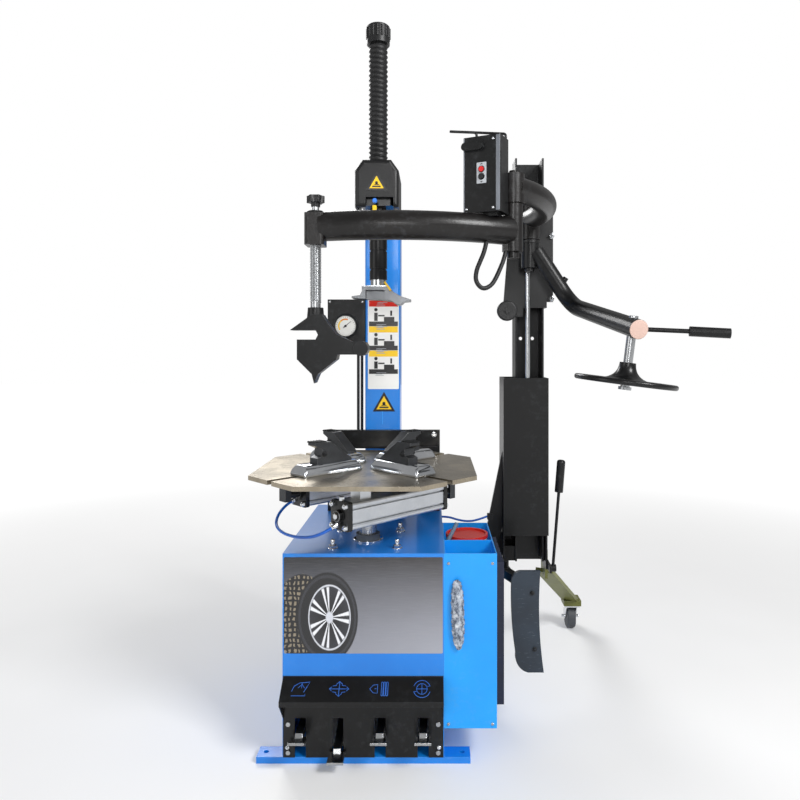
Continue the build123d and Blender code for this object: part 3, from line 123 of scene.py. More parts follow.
for name, plan, body, node in (
    ("clamp_air_hose", couplingHose, "turntable", "coupling_hose"),
    ("boom_wire_hose", boomHose, "boom", "boom_hose"),
    ("side_air_hose", airHose, "machine", "air_hose"),
):
    hose = makeHose(name, plan["route"], plan["radius"])
    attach(hose, body)
    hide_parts(node)
    hoses[name] = hose
print("camera and hoses placed")


# shader kit: a field is one socket that can be used in sums
class Field:
    def __init__(self, finish, socket):
        self.finish = finish
        self.socket = socket

    def pair(self, operation, first, second):
        kinds = [side.socket.type for side in (first, second) if isinstance(side, Field)]
        if "RGBA" in kinds:
            return self.finish.node("Mix", {"data_type": "RGBA", "blend_type": operation},
                                    {0: 1.0, 6: first, 7: second}, 2)
        if "VECTOR" in kinds:
            sides = [side if isinstance(side, (Field, tuple)) else (side, side, side)
                     for side in (first, second)]
            return self.finish.node("VectorMath", {"operation": operation}, {0: sides[0], 1: sides[1]})
        return self.finish.node("Math", {"operation": operation}, {0: first, 1: second})

    def __add__(self, other):
        return self.pair("ADD", self, other)

    def __radd__(self, other):
        return self.pair("ADD", other, self)

    def __sub__(self, other):
        return self.pair("SUBTRACT", self, other)

    def __rsub__(self, other):
        return self.pair("SUBTRACT", other, self)

    def __mul__(self, other):
        return self.pair("MULTIPLY", self, other)

    def __rmul__(self, other):
        return self.pair("MULTIPLY", other, self)

    def __truediv__(self, other):
        return self.pair("DIVIDE", self, other)

    def __rtruediv__(self, other):
        return self.pair("DIVIDE", other, self)

    def __pow__(self, other):
        return self.pair("POWER", self, other)

    def __gt__(self, other):
        return self.pair("GREATER_THAN", self, other)

    def __lt__(self, other):
        return self.pair("LESS_THAN", self, other)

    def math(self, operation, *others):
        inputs = {0: self}
        for number, other in enumerate(others):
            inputs[number + 1] = other
        return self.finish.node("Math", {"operation": operation}, inputs)

    def band(self, low, high, bottom=0.0, top=1.0):
        return self.finish.node("MapRange", {"clamp": True}, {
            "Value": self, "From Min": low, "From Max": high, "To Min": bottom, "To Max": top})

    def part(self, letter):
        split = self.finish.node("SeparateXYZ", {}, {0: self})
        return split.beside(letter)

    def beside(self, output):
        return Field(self.finish, self.socket.node.outputs[output])


def linear(hexText):
    parts = [int(hexText[start:start + 2], 16) / 255 for start in (0, 2, 4)]
    return tuple(part / 12.92 if part < 0.0405 else ((part + 0.055) / 1.055) ** 2.4
                 for part in parts) + (1.0,)


class Finish:
    def __init__(self, name):
        self.material = bpy.data.materials.new(name)
        self.material.use_nodes = True
        self.tree = self.material.node_tree
        self.tree.nodes.clear()
        self.place = self.node("TexCoord", {}, {}, "Object")

    def node(self, kind, settings=None, inputs=None, output=0):
        node = self.tree.nodes.new("ShaderNode" + kind)
        for key, value in (settings or {}).items():
            setattr(node, key, value)
        for key, value in (inputs or {}).items():
            if isinstance(value, Field):
                self.tree.links.new(value.socket, node.inputs[key])
            elif value is not None:
                node.inputs[key].default_value = value
        return Field(self, node.outputs[output])

    def noise(self, scale, detail=3.0, rough=0.55, place=None, stretch=None):
        spot = place or self.place
        if stretch:
            spot = spot * stretch
        return self.node("TexNoise", {},
                         {"Vector": spot, "Scale": scale, "Detail": detail, "Roughness": rough})

    def mix(self, factor, first, second):
        return self.node("Mix", {"data_type": "RGBA"}, {0: factor, 6: first, 7: second}, 2)

    def blend(self, factor, first, second):
        return self.node("Mix", {"data_type": "FLOAT"}, {0: factor, 2: first, 3: second})

    def edges(self, radius=0.0015, samples=4):
        soft = self.node("Bevel", {"samples": samples}, {"Radius": radius})
        flat = self.node("NewGeometry", {}, {}, "Normal")
        meet = self.node("VectorMath", {"operation": "DOT_PRODUCT"}, {0: soft, 1: flat}, "Value")
        self.softNormal = soft
        return (1 - meet).band(0.02, 0.25)

    def done(self, colour, roughness, metallic=0.0, height=None, depth=0.0002, normal=None, **fixed):
        inputs = {"Base Color": colour, "Roughness": roughness, "Metallic": metallic}
        inputs.update(fixed)
        if height is not None:
            inputs["Normal"] = self.node("Bump", {}, {
                "Strength": 1.0, "Distance": depth, "Height": height, "Normal": normal})
        elif normal is not None:
            inputs["Normal"] = normal
        surface = self.node("BsdfPrincipled", {}, inputs)
        self.finishWith(surface)
        return self.material

    def finishWith(self, surface):
        out = self.tree.nodes.new("ShaderNodeOutputMaterial")
        self.tree.links.new(surface.socket, out.inputs["Surface"])


# finishes: one short function for each kind, one material for each colour
def makePaint(name, paint):
    finish = Finish(name)
    edgeWearAndHighlight = finish.edges(paint.get("edge", 0.0015))
    cloud = finish.noise(3.5, 4)
    speck = finish.noise(55, 5, 0.65)
    dust = (speck.band(0.52, 0.74) * cloud.band(0.4, 0.62)) * paint.get("dust", 0.25)
    shadeLow = linear(paint["low"])
    shadeHigh = linear(paint["high"])
    body = finish.mix(cloud.band(0.3, 0.7), shadeLow, shadeHigh)
    body = finish.mix(dust, body, linear(paint.get("dustColour", "9aa0a6")))
    # edges are mixed towards a lighter colour: partly real paint wear, partly a painted highlight along every
    # edge
    colour = finish.mix(edgeWearAndHighlight * paint.get("wear", 0.3), body, linear(paint.get("wornAndLitEdgeColour", "b8c6d4")))
    peel = finish.noise(paint.get("grain", 260), 2, 0.5)
    scratch = finish.noise(28, 6, 0.7, stretch=(1.0, 9.0, 7.0))
    rough = paint["rough"] + (scratch - 0.5) * 0.16 + dust * 0.3 - edgeWearAndHighlight * 0.08
    return finish.done(colour, rough, paint.get("metal", 0.0), peel, paint.get("depth", 0.00025),
                       finish.softNormal, **{"Coat Weight": paint.get("coat", 0.0), "Coat Roughness": 0.12,
                                             "Specular IOR Level": paint.get("sheen", 0.5)})


def makeMetal(name, metal):
    finish = Finish(name)
    edge = finish.edges(metal.get("edge", 0.001))
    grain = finish.noise(metal.get("grain", 90), 4, 0.6, stretch=metal.get("stretch", (1.0, 1.0, 1.0)))
    stain = finish.noise(9, 5, 0.6)
    body = finish.mix(stain.band(0.32, 0.72), linear(metal["low"]), linear(metal["high"]))
    colour = finish.mix(grain.band(0.35, 0.75) * 0.35, body, linear(metal.get("streak", metal["low"])))
    # edges are lightened towards near white: partly polished wear, partly a painted highlight along every
    # edge
    colour = finish.mix(edge * 0.35, colour, linear("f2f2ef"))
    rough = metal["rough"] + (grain - 0.5) * metal.get("spread", 0.22) + stain.band(0.5, 0.8) * 0.1
    return finish.done(colour, rough, metal.get("metal", 1.0), grain, metal.get("depth", 0.00006),
                       finish.softNormal)


def makePlastic(name, plastic):
    finish = Finish(name)
    edge = finish.edges(plastic.get("edge", 0.0012))
    texture = finish.node("TexVoronoi", {"feature": "F1"},
                          {"Vector": finish.place, "Scale": plastic.get("grain", 700)})
    cloud = finish.noise(6, 4)
    scuff = finish.noise(40, 6, 0.7, stretch=(1.0, 1.0, 6.0)).band(0.6, 0.75)
    body = finish.mix(cloud.band(0.3, 0.7), linear(plastic["low"]), linear(plastic["high"]))
    body = finish.mix(scuff * plastic.get("scuff", 0.25), body,
                      linear(plastic.get("scuffColour", "8a8d92")))
    # edges are mixed towards a lighter colour: partly real wear, partly a painted highlight along every edge
    colour = finish.mix(edge * plastic.get("wear", 0.25), body, linear(plastic.get("wornAndLitEdgeColour", "6d7278")))
    rough = plastic["rough"] + (cloud - 0.5) * 0.2 + scuff * 0.15
    return finish.done(colour, rough, 0.0, texture, plastic.get("depth", 0.00012), finish.softNormal)


# the edge colours below lighten the paint at every edge: partly paint wear, partly a painted edge highlight
paints = {
    "cabinet_blue": {"low": "0474d2", "high": "0a86e6", "rough": 0.36, "coat": 0.35, "wear": 0.3,
                     "wornAndLitEdgeColour": "7fc0f5", "dust": 0.1},
    "box_blue": {"low": "0293ee", "high": "06a2fb", "rough": 0.42, "coat": 0.2, "wear": 0.3,
                 "wornAndLitEdgeColour": "9ad6ff", "dust": 0.08},
    "gloss_black": {"low": "040405", "high": "08090a", "rough": 0.34, "coat": 0.2, "wear": 0.4,
                    "wornAndLitEdgeColour": "4a4d51", "dust": 0.05,
                    "sheen": 0.3},
    "frame_black": {"low": "050506", "high": "0b0c0d", "rough": 0.4, "coat": 0.1, "wear": 0.5,
                    "wornAndLitEdgeColour": "5d6166", "dust": 0.06,
                    "grain": 340, "sheen": 0.3},
    "arm_brown": {"low": "0b0a0a", "high": "171413", "rough": 0.36, "coat": 0.12, "wear": 0.35,
                  "wornAndLitEdgeColour": "6b6764", "dust": 0.08,
                  "grain": 180, "depth": 0.0004, "sheen": 0.35},
    "olive_bar": {"low": "55571f", "high": "77793a", "rough": 0.45, "wear": 0.5, "wornAndLitEdgeColour": "b5b68c"},
    "motor_grey": {"low": "4a4f55", "high": "60666d", "rough": 0.5, "wear": 0.3},
}
metals = {
    "plate_steel": {"low": "8f8676", "high": "b9ae9a", "streak": "6f675a", "rough": 0.3, "grain": 60,
                    "stretch": (1.0, 14.0, 1.0), "spread": 0.3},
    "rod_chrome": {"low": "c9cdd2", "high": "e9ebee", "rough": 0.09, "spread": 0.08, "grain": 200},
    "machined_steel": {"low": "a6a8aa", "high": "bcbec0", "rough": 0.27, "grain": 260, "spread": 0.06,
                       "depth": 0.00002},
    "barrel_aluminium": {"low": "b9bdc2", "high": "d6d9dd", "rough": 0.36, "grain": 120,
                         "stretch": (7.0, 7.0, 1.0)},
    "cast_shoe": {"low": "3a3b3d", "high": "55575a", "rough": 0.42, "grain": 220, "depth": 0.0003,
                  "metal": 0.85},
    "pedal_alloy": {"low": "9b9ea2", "high": "c5c8cc", "rough": 0.38, "grain": 180, "depth": 0.00015},
}
# the edge colours below lighten each plastic at its edges: partly wear, partly a painted edge highlight
plastics = {
    "black_moulding": {"low": "070708", "high": "0d0e10", "rough": 0.4, "scuff": 0.08},
    "black_rubber": {"low": "060607", "high": "0c0c0e", "rough": 0.5, "grain": 400, "depth": 0.0002,
                     "wear": 0.15, "scuff": 0.08},
    "navy_rubber": {"low": "0a0f24", "high": "111a38", "rough": 0.62, "grain": 300, "depth": 0.0003},
    "blade_plastic": {"low": "1c2530", "high": "2a3643", "rough": 0.46, "grain": 420, "scuff": 0.55,
                      "scuffColour": "7c8894", "wear": 0.5, "wornAndLitEdgeColour": "6f7d8a"},
    "lid_red": {"low": "c81d12", "high": "e23322", "rough": 0.36, "wornAndLitEdgeColour": "ff9a88",
                "scuffColour": "f0a090"},
    "button_red": {"low": "c01414", "high": "d92020", "rough": 0.28},
    "button_black": {"low": "0b0b0c", "high": "141416", "rough": 0.3},
    "bucket_white": {"low": "cfd2d4", "high": "e2e4e6", "rough": 0.5},
    "brush_grey": {"low": "5b6b7d", "high": "748699", "rough": 0.5},
    "hose_blue": {"low": "0b4fa8", "high": "1767cc", "rough": 0.32},
    "wheel_grey": {"low": "3b3e42", "high": "4e5156", "rough": 0.55},
    "dial_white": {"low": "e6e6e2", "high": "f4f4f0", "rough": 0.5, "scuff": 0.05},
    "sticker_yellow": {"low": "f2c300", "high": "ffd21a", "rough": 0.42, "scuff": 0.08},
    "sticker_white": {"low": "e8e8e6", "high": "f6f6f4", "rough": 0.42, "scuff": 0.08},
    "sticker_grey": {"low": "a9adb2", "high": "babec3", "rough": 0.42, "scuff": 0.1},
    "icon_blue": {"low": "1e6fe0", "high": "3f8cf5", "rough": 0.45, "scuff": 0.05},
    "edge_grey": {"low": "5b5f66", "high": "7b8088", "rough": 0.35},
    "bare_cap": {"low": "c9a99c", "high": "e3c6ba", "rough": 0.4},
    "dial_orange": {"low": "e07a10", "high": "f09020", "rough": 0.5, "scuff": 0.05},
}
finishes = {}
for name, recipe in paints.items():
    finishes[name] = makePaint(name, recipe)
for name, recipe in metals.items():
    finishes[name] = makeMetal(name, recipe)
for name, recipe in plastics.items():
    finishes[name] = makePlastic(name, recipe)
print(len(finishes), "finishes made")

# which finish each CAD piece wears
wears = {
    "cabinet_blue": ["base_frame", "cabinet_shell", "column_tube"],
    "box_blue": ["side_box"],
    "gloss_black": ["pedal_cover", "tilt_bracket", "head_arm", "control_box", "gauge_box", "lifter_disc"],
    "frame_black": ["assist_mast", "assist_housing", "assist_carriage", "bead_arm", "bead_lever",
                    "lifter_arm",
                    "press_tool", "hex_shaft"],
    "arm_brown": ["link_arm", "boom_arm"],
    "olive_bar": ["outrigger_bar"],
    "motor_grey": ["gearbox", "drive_motor"],
    "plate_steel": ["turntable_plate"],
    "rod_chrome": ["tilt_rod", "castor_fork"],
    "machined_steel": ["spindle", "pins_and_bolts", "press_screw", "lifter_shaft"],
    "barrel_aluminium": ["clamp_cylinder_1", "clamp_cylinder_2", "tilt_cylinder"],
    "cast_shoe": ["mount_head"] + [f"clamp_jaw_{number}" for number in (1, 2, 3, 4)],
    "pedal_alloy": [f"pedal_{number}" for number in (1, 2, 3, 4)],
    "black_moulding": ["head_cover", "pressure_gauge", "shaft_cap", "press_roller"],
    "black_rubber": ["bellows"],
    "navy_rubber": ["rubber_pad"],
    "blade_plastic": ["bead_blade"],
    "lid_red": ["bucket_lid"],
    "button_red": ["red_button"],
    "button_black": ["black_button"],
    "bucket_white": ["bucket"],
    "brush_grey": ["cleaning_brush"],
    "wheel_grey": ["castor_wheel"],
    "sticker_grey": ["tire_lever"],
}


def wear(thing, finishName):
    thing.data.materials.clear()
    thing.data.materials.append(finishes[finishName])


for finishName, members in wears.items():
    for member in members:
        wear(nodes[member], finishName)
for name, finishName in (("clamp_air_hose", "hose_blue"), ("boom_wire_hose", "black_rubber"),
                         ("side_air_hose", "hose_blue")):
    wear(hoses[name], finishName)


# mesh kit
def addPiece(name, body, finishName, shape, sharp=35):
    bmesh.ops.recalc_face_normals(shape, faces=shape.faces)
    mesh = bpy.data.meshes.new(name)
    shape.to_mesh(mesh)
    shape.free()
    mesh.polygons.foreach_set("use_smooth", [True] * len(mesh.polygons))
    mesh.set_sharp_from_angle(angle=math.radians(sharp))
    mesh.materials.append(finishes[finishName])
    piece = bpy.data.objects.new(name, mesh)
    scene.collection.objects.link(piece)
    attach(piece, body)
    return piece


def turn(shape, outline, base, direction, steps=32):
    # outline is (distance along, radius) from one end to the other
    way = Vector(direction).normalized()
    side = way.orthogonal().normalized()
    up = way.cross(side)
    rings = []
    for along, radius in outline:
        centre = Vector(base) + way * along
        ring = []
        for step in range(steps):
            angle = 2 * math.pi * step / steps
            ring.append(shape.verts.new(centre + (side * math.cos(angle) + up * math.sin(angle)) * radius))
        rings.append(ring)
    for low, high in zip(rings, rings[1:]):
        for step in range(steps):
            after = (step + 1) % steps
            shape.faces.new((low[step], low[after], high[after], high[step]))
    shape.faces.new(rings[0])
    shape.faces.new(rings[-1])


def openEnds(shape):
    # takes the round end faces off, so that only the side wall is left
    for face in shape.faces[:]:
        if len(face.verts) > 8:
            shape.faces.remove(face)


def tube(shape, points, radius, steps=8, closed=False):
    # a round line through points, its ends closed unless it is a loop
    points = [Vector(point) for point in points]
    count = len(points)
    rings = []
    side = None
    for number, point in enumerate(points):
        before = points[number - 1] if number or closed else point
        after = points[(number + 1) % count] if number + 1 < count or closed else point
        way = (after - before).normalized()
        side = way.orthogonal() if side is None else side - way * side.dot(way)
        side.normalize()
        up = way.cross(side)
        size = radius(number / max(1, count - 1)) if callable(radius) else radius
        ring = []
        for step in range(steps):
            angle = 2 * math.pi * step / steps
            ring.append(shape.verts.new(point + (side * math.cos(angle) + up * math.sin(angle)) * size))
        rings.append(ring)
    pairs = list(zip(rings, rings[1:])) + ([(rings[-1], rings[0])] if closed else [])
    for low, high in pairs:
        for step in range(steps):
            after = (step + 1) % steps
            shape.faces.new((low[step], low[after], high[after], high[step]))
    if not closed:
        shape.faces.new(rings[0])
        shape.faces.new(rings[-1])


def plate(shape, outline, origin, right, up, depth, bevel=0.0, holes=()):
    # a flat outline, its front at origin, going back by depth, with a softened edge when bevel is given and
    # there are no holes
    right, up, origin = Vector(right).normalized(), Vector(up).normalized(), Vector(origin)
    back = right.cross(up) * -depth
    loops = []
    for ring in [outline, *holes]:
        front = [shape.verts.new(origin + right * x + up * y) for x, y in ring]
        rear = [shape.verts.new(vert.co + back) for vert in front]
        loops.append((front, rear))
    made = []
    if holes:
        for layer in (0, 1):
            edges = []
            for loop in loops:
                ring = loop[layer]
                edges += [shape.edges.new((ring[n - 1], ring[n])) for n in range(len(ring))]
            filled = bmesh.ops.triangle_fill(shape, edges=edges, use_beauty=True)
            made += [item for item in filled["geom"] if isinstance(item, bmesh.types.BMFace)]
    else:
        made += [shape.faces.new(loops[0][0]), shape.faces.new(list(reversed(loops[0][1])))]
    for front, rear in loops:
        for number in range(len(front)):
            made.append(shape.faces.new((front[number - 1], front[number], rear[number], rear[number - 1])))
    if bevel and not holes:
        edges = dict.fromkeys(edge for face in made for edge in face.edges)
        bmesh.ops.bevel(shape, geom=list(edges), offset=bevel, segments=2, profile=0.6, affect="EDGES",
                        clamp_overlap=True)


def box(left, low, width, height):
    return [(left, low), (left + width, low), (left + width, low + height), (left, low + height)]


def roundBox(left, low, width, height, radius, steps=4):
    points = []
    corners = ((left + width - radius, low + radius, -90),
               (left + width - radius, low + height - radius, 0),
               (left + radius, low + height - radius, 90), (left + radius, low + radius, 180))
    for x, y, start in corners:
        for step in range(steps + 1):
            angle = math.radians(start + 90 * step / steps)
            points.append((x + radius * math.cos(angle), y + radius * math.sin(angle)))
    return points


def circle(x, y, radius, steps=24, start=0.0):
    return [(x + radius * math.cos(start + 2 * math.pi * n / steps),
             y + radius * math.sin(start + 2 * math.pi * n / steps))
            for n in range(steps)]


def hexBolt(shape, place, direction, size, washer=True):
    # washer, chamfered six-sided head and a short thread end
    way = Vector(direction).normalized()
    base = Vector(place)
    if washer:
        turn(shape, [(0, size * 1.15), (size * 0.18, size * 1.15), (size * 0.2, size * 1.1)], base, way, 24)
    start = size * 0.18
    turn(shape, [(start, size * 0.95), (start + size * 0.55, size * 0.95),
                 (start + size * 0.68, size * 0.8)],
         base, way, 6)
    turn(shape, [(start, size * 0.45), (start + size * 1.0, size * 0.45),
                 (start + size * 1.08, size * 0.36)],
         base, way, 16)


def bolts(name, body, places, direction, size, finishName="rod_chrome", washer=True):
    shape = bmesh.new()
    for place in places:
        hexBolt(shape, place, direction, size, washer)
    return addPiece(name, body, finishName, shape)


xAxis, yAxis, zAxis = Vector((1, 0, 0)), Vector((0, 1, 0)), Vector((0, 0, 1))
toFront = Vector((0, -1, 0))

# printed panel on the cabinet's front: a wheel in a grey haze, of our own drawing
frontPanel = {"left": -0.2165, "low": 0.300, "width": 0.433, "height": 0.262, "face": -0.1386,
              "wheel": (-0.092, 0.398)}


def makePanelPrint():
    finish = Finish("panel_print")
    x, z = finish.place.part("X"), finish.place.part("Z")
    wheelX, wheelZ = frontPanel["wheel"]
    low, top = frontPanel["low"], frontPanel["low"] + frontPanel["height"]
    side = x.band(-0.1, 0.2165)
    haze = finish.noise(4, 4)
    sky = finish.mix(z.band(low, top), linear("8a8c96"), linear("0b0c12"))
    sky = finish.mix(side * z.band(top, low), sky, linear("a0a2ab"))
    sky = finish.mix(side * z.band(low, top) * 0.4, sky, linear("3a322c"))
    sky = finish.mix(haze.band(0.45, 0.8) * 0.25, sky, linear("5b5e68"))
    brush = finish.noise(30, 5, 0.7, stretch=(0.6, 1.0, 26.0))
    sky = finish.mix(brush.band(0.5, 0.8) * 0.12, sky, linear("c6c8d0"))
    # ellipse distances for rim and tyre
    across = (x - wheelX) / 0.058
    upward = (z - wheelZ) / 0.090
    rim = (across * across + upward * upward).math("SQRT")
    tyreAcross = (x - (wheelX - 0.006)) / 0.083
    tyreUp = (z - wheelZ) / 0.122
    tyre = (tyreAcross * tyreAcross + tyreUp * tyreUp).math("SQRT")
    treadAcross = (x - (wheelX - 0.075)) / 0.075
    treadUp = (z - wheelZ) / 0.118
    tread = (treadAcross * treadAcross + treadUp * treadUp).math("SQRT")
    grooves = finish.node("TexWave", {"bands_direction": "X", "wave_type": "BANDS"}, {
        "Vector": finish.place, "Scale": 26.0, "Distortion": 5.0, "Detail": 3.0, "Detail Scale": 2.0},
                          "Fac")
    blocks = finish.node("TexWave", {"bands_direction": "Z", "wave_type": "BANDS"}, {
        "Vector": finish.place, "Scale": 22.0, "Distortion": 3.5}, "Fac")
    rubber = finish.mix(grooves.band(0.45, 0.7) * blocks.band(0.2, 0.5), linear("07080b"), linear("857a68"))
    picture = finish.mix(tread.band(1.02, 0.98), sky, rubber)
    picture = finish.mix(tyre.band(1.02, 0.99), picture, linear("0b0c10"))
    lip = tyre.band(0.86, 0.9) * tyre.band(0.97, 0.93)
    picture = finish.mix(lip * 0.5, picture, linear("3f4047"))
    # seven twin spokes: rays from the hub, cut by the rim
    angle = upward.math("ARCTAN2", across)
    ray = (angle * 3.5).math("COSINE").math("ABSOLUTE")
    twin = ray.band(0.72, 0.8) * ray.band(0.985, 0.95)
    spoke = twin * rim.band(0.95, 0.9) * rim.band(0.12, 0.2)
    well = finish.mix(rim.band(0.3, 0.9), linear("0a0b0f"), linear("24262d"))
    picture = finish.mix(rim.band(1.0, 0.97), picture, well)
    picture = finish.mix(spoke, picture, linear("e9ebf0"))
    ring = rim.band(0.93, 0.96) * rim.band(1.01, 0.98)
    hub = rim.band(0.2, 0.15)
    picture = finish.mix(ring.math("MAXIMUM", hub), picture, linear("cfd2da"))
    rough = 0.24 + (brush - 0.5) * 0.1
    return finish.done(picture, rough, 0.0, brush, 0.00003, **{"Coat Weight": 0.5, "Coat Roughness": 0.08})


finishes["panel_print"] = makePanelPrint()
shape = bmesh.new()
plate(shape, roundBox(0, 0, frontPanel["width"], frontPanel["height"], 0.004),
      (frontPanel["left"], frontPanel["face"],
      frontPanel["low"]), xAxis, zAxis, 0.0012)
addPiece("front_panel_print", "machine", "panel_print", shape)
print("front panel printed")

# four line signs on the sloping visor over the pedals
visorSigns = {"places": (-0.163, -0.062, 0.049, 0.160), "line": 0.0007, "size": 0.023,
              "row": (-0.1665, 0.2175)}
slope = Vector((0, 57, 43)).normalized()
signY, signZ = visorSigns["row"]


def drawSign(name, centreX, lines, loops):
    shape = bmesh.new()
    centre = Vector((centreX, signY, signZ)) + xAxis.cross(slope) * 0.0004
    for group, closed in ((lines, False), (loops, True)):
        for points in group:
            spots = [centre + (xAxis * x + slope * y) * visorSigns["size"] for x, y in points]
            tube(shape, spots, visorSigns["line"], 6, closed)
    addPiece(name, "machine", "icon_blue", shape)


def arc(x, y, radius, start, end, steps=10):
    turnBy = (end - start) / steps
    return [(x + radius * math.cos(math.radians(start + turnBy * n)),
             y + radius * math.sin(math.radians(start + turnBy * n)))
            for n in range(steps + 1)]


firstSign = [[(-1.1, -0.3), (-0.9, 0.3), (-0.3, 0.7), (0.9, 0.8), (0.6, 0.2), (0.3, -0.4)],
             [(-0.4, 0.1), (0.0, 0.55), (0.35, 0.1)], [(0.0, 0.1), (0.0, 0.7)],
             [(-1.1, -0.8), (0.5, -0.8), (0.5, -0.6)]]
crossSign = [[(-1.15, 0), (1.15, 0)], [(0, -0.85), (0, 0.85)]]
for flip in (-1, 1):
    crossSign += [[(flip * 0.85, 0.25), (flip * 1.15, 0), (flip * 0.85, -0.25)],
                  [(-0.25, flip * 0.62), (0, flip * 0.88), (0.25, flip * 0.62)],
                  [(flip * 0.75, 0.35), (flip * 0.35, 0.4), (flip * 0.3, 0.65)],
                  [(flip * 0.75, -0.35), (flip * 0.35, -0.4), (flip * 0.3, -0.65)]]
bladeSign = [[(-0.35, 0.5), (-0.85, 0.45), (-1.25, 0), (-0.85, -0.45), (-0.35, -0.5), (-0.35, 0.5)],
             [(-0.7, 0), (-0.5, 0.05)]]
bladeLoops = [roundBox(0.1 + 0.28 * n, -0.8, 0.2, 1.6, 0.09, 3) for n in range(3)]
turnSign = [arc(0, 0, 1.0, 20, 160), arc(0, 0, 1.0, 200, 340), [(-0.6, 0), (0.6, 0)], [(0, -0.6), (0, 0.6)],
            [(0.78, 0.62), (0.95, 0.33), (0.62, 0.3)], [(-0.78, -0.62), (-0.95, -0.33), (-0.62, -0.3)]]
drawSign("visor_sign_tilt", visorSigns["places"][0], firstSign, [])
drawSign("visor_sign_clamp", visorSigns["places"][1], crossSign, [])
drawSign("visor_sign_breaker", visorSigns["places"][2], bladeSign, bladeLoops)
drawSign("visor_sign_turn", visorSigns["places"][3], turnSign, [circle(0, 0, 0.62, 20)])

# bellows on the hexagonal shaft, thin fins on a soft tube
bellowsPlan = {"folds": 25, "fin": 0.0012, "valley": 0.0272, "crest": 0.0303, "keep": 0.27}
low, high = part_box("bellows")
axisX, axisY = (low.x + high.x) / 2, (low.y + high.y) / 2
pitch = (high.z - low.z) / bellowsPlan["folds"]
outline = [(0.0, bellowsPlan["valley"])]
for fold in range(bellowsPlan["folds"]):
    start = fold * pitch
    lean = 0.0004 * math.sin(fold * 1.7)
    outline += [(start + pitch * 0.22, bellowsPlan["valley"] + 0.0004),
                (start + pitch * 0.36, bellowsPlan["valley"] + 0.001),
                (start + pitch * 0.46, bellowsPlan["crest"] - lean * 0.5),
                (start + pitch * 0.56, bellowsPlan["crest"] - 0.0002),
                (start + pitch * 0.68, bellowsPlan["valley"] + 0.0009),
                (start + pitch * 0.85, bellowsPlan["valley"])]
outline.append((high.z - low.z, bellowsPlan["valley"]))
shape = bmesh.new()
turn(shape, outline, (axisX, axisY, low.z), zAxis, 48)
bellowsPiece = addPiece("shaft_bellows", "column", "black_rubber", shape, 50)
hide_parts("bellows")
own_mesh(bellowsPiece)
print("bellows folded")

# generic stickers: bars and simple shapes, no lettering
columnLabel = {"left": -0.036, "low": 0.990, "width": 0.108, "height": 0.313, "face": 0.3746}
stickerLayers = {"sticker_white": [], "lid_red": [], "sticker_yellow": [], "button_black": []}
stickerLayers["sticker_white"].append(roundBox(0, 0, columnLabel["width"], columnLabel["height"], 0.004))
cursor = columnLabel["height"] - 0.004
edge = 0.004
inner = columnLabel["width"] - 2 * edge
for strip, picture in (("lid_red", 0.068), ("sticker_yellow", 0.062), ("sticker_yellow", 0.060)):
    cursor -= 0.022
    stickerLayers[strip].append(box(edge, cursor, inner, 0.021))
    cursor -= picture
    figure = cursor + 0.022
    stickerLayers["button_black"] += [
        circle(edge + 0.024, figure + picture * 0.52, 0.006, 14),
        box(edge + 0.018, figure - 0.004, 0.012, picture * 0.42),
        box(edge + 0.052, figure - 0.006, 0.036, 0.016), box(edge + 0.074, figure + 0.014, 0.006, 0.018),
        box(edge + 0.032, figure + 0.012, 0.022, 0.005), box(edge, cursor, inner, 0.016),
    ]
shape = bmesh.new()
for number, (layer, outlines) in enumerate(stickerLayers.items()):
    shape = bmesh.new()
    for ring in outlines:
        plate(shape, ring, (columnLabel["left"], columnLabel["face"] - 0.00025 * number,
                            columnLabel["low"]), xAxis, zAxis,
              0.0008 + 0.00025 * number)
    addPiece(f"column_label_{number + 1}", "column", layer, shape)
shape = bmesh.new()
for number in range(3):
    for bar, width in enumerate((0.03, 0.022, 0.034)):
        plate(shape, box(0.03 + 0.002 * bar, 0.302 - 0.0838 * number - 0.011 + 0.0045 * bar, width, 0.0018),
              (columnLabel["left"], columnLabel["face"] - 0.0011, columnLabel["low"]), xAxis, zAxis, 0.0004)
        plate(shape, box(0.026 + 0.002 * bar, 0.221 - 0.0838 * number - 0.0065 + 0.0045 * bar, width,
                         0.0016),
              (columnLabel["left"], columnLabel["face"] - 0.0011, columnLabel["low"]), xAxis, zAxis, 0.0004)
addPiece("column_label_lines", "column", "sticker_grey", shape)


def caution(name, body, centre, width):
    # yellow triangle with a dark rim and a plain bar and dot
    height = width * 0.88
    for layer, grow, finishName in ((0, 0.0, "button_black"), (1, 0.1, "sticker_yellow"),
                                    (2, 0.0, "button_black")):
        shape = bmesh.new()
        place = Vector(centre) + toFront * (0.0002 + 0.0003 * layer)
        if layer < 2:
            inset = grow * width
            half = width / 2 - inset * 1.6
            ring = [(-half, -height / 3 + inset), (half, -height / 3 + inset),
                    (0, height * 2 / 3 - inset * 1.9)]
            plate(shape, ring, place, xAxis, zAxis, 0.0008)
        else:
            plate(shape, box(-width * 0.2, -height * 0.16, width * 0.4, height * 0.08), place, xAxis, zAxis,
                  0.0006)
            plate(shape, circle(0, height * 0.08, width * 0.07, 16), place, xAxis, zAxis, 0.0006)
            plate(shape, [(-width * 0.14, -height * 0.04), (width * 0.16, -height * 0.04),
                          (0, height * 0.06)], place,
                  xAxis, zAxis, 0.0006)
        addPiece(f"{name}_{layer + 1}", body, finishName, shape)


caution("column_triangle", "column", (0.020, 0.3746, 0.935), 0.078)
caution("head_triangle", "column", (0.015, 0.1176, 1.640), 0.066)
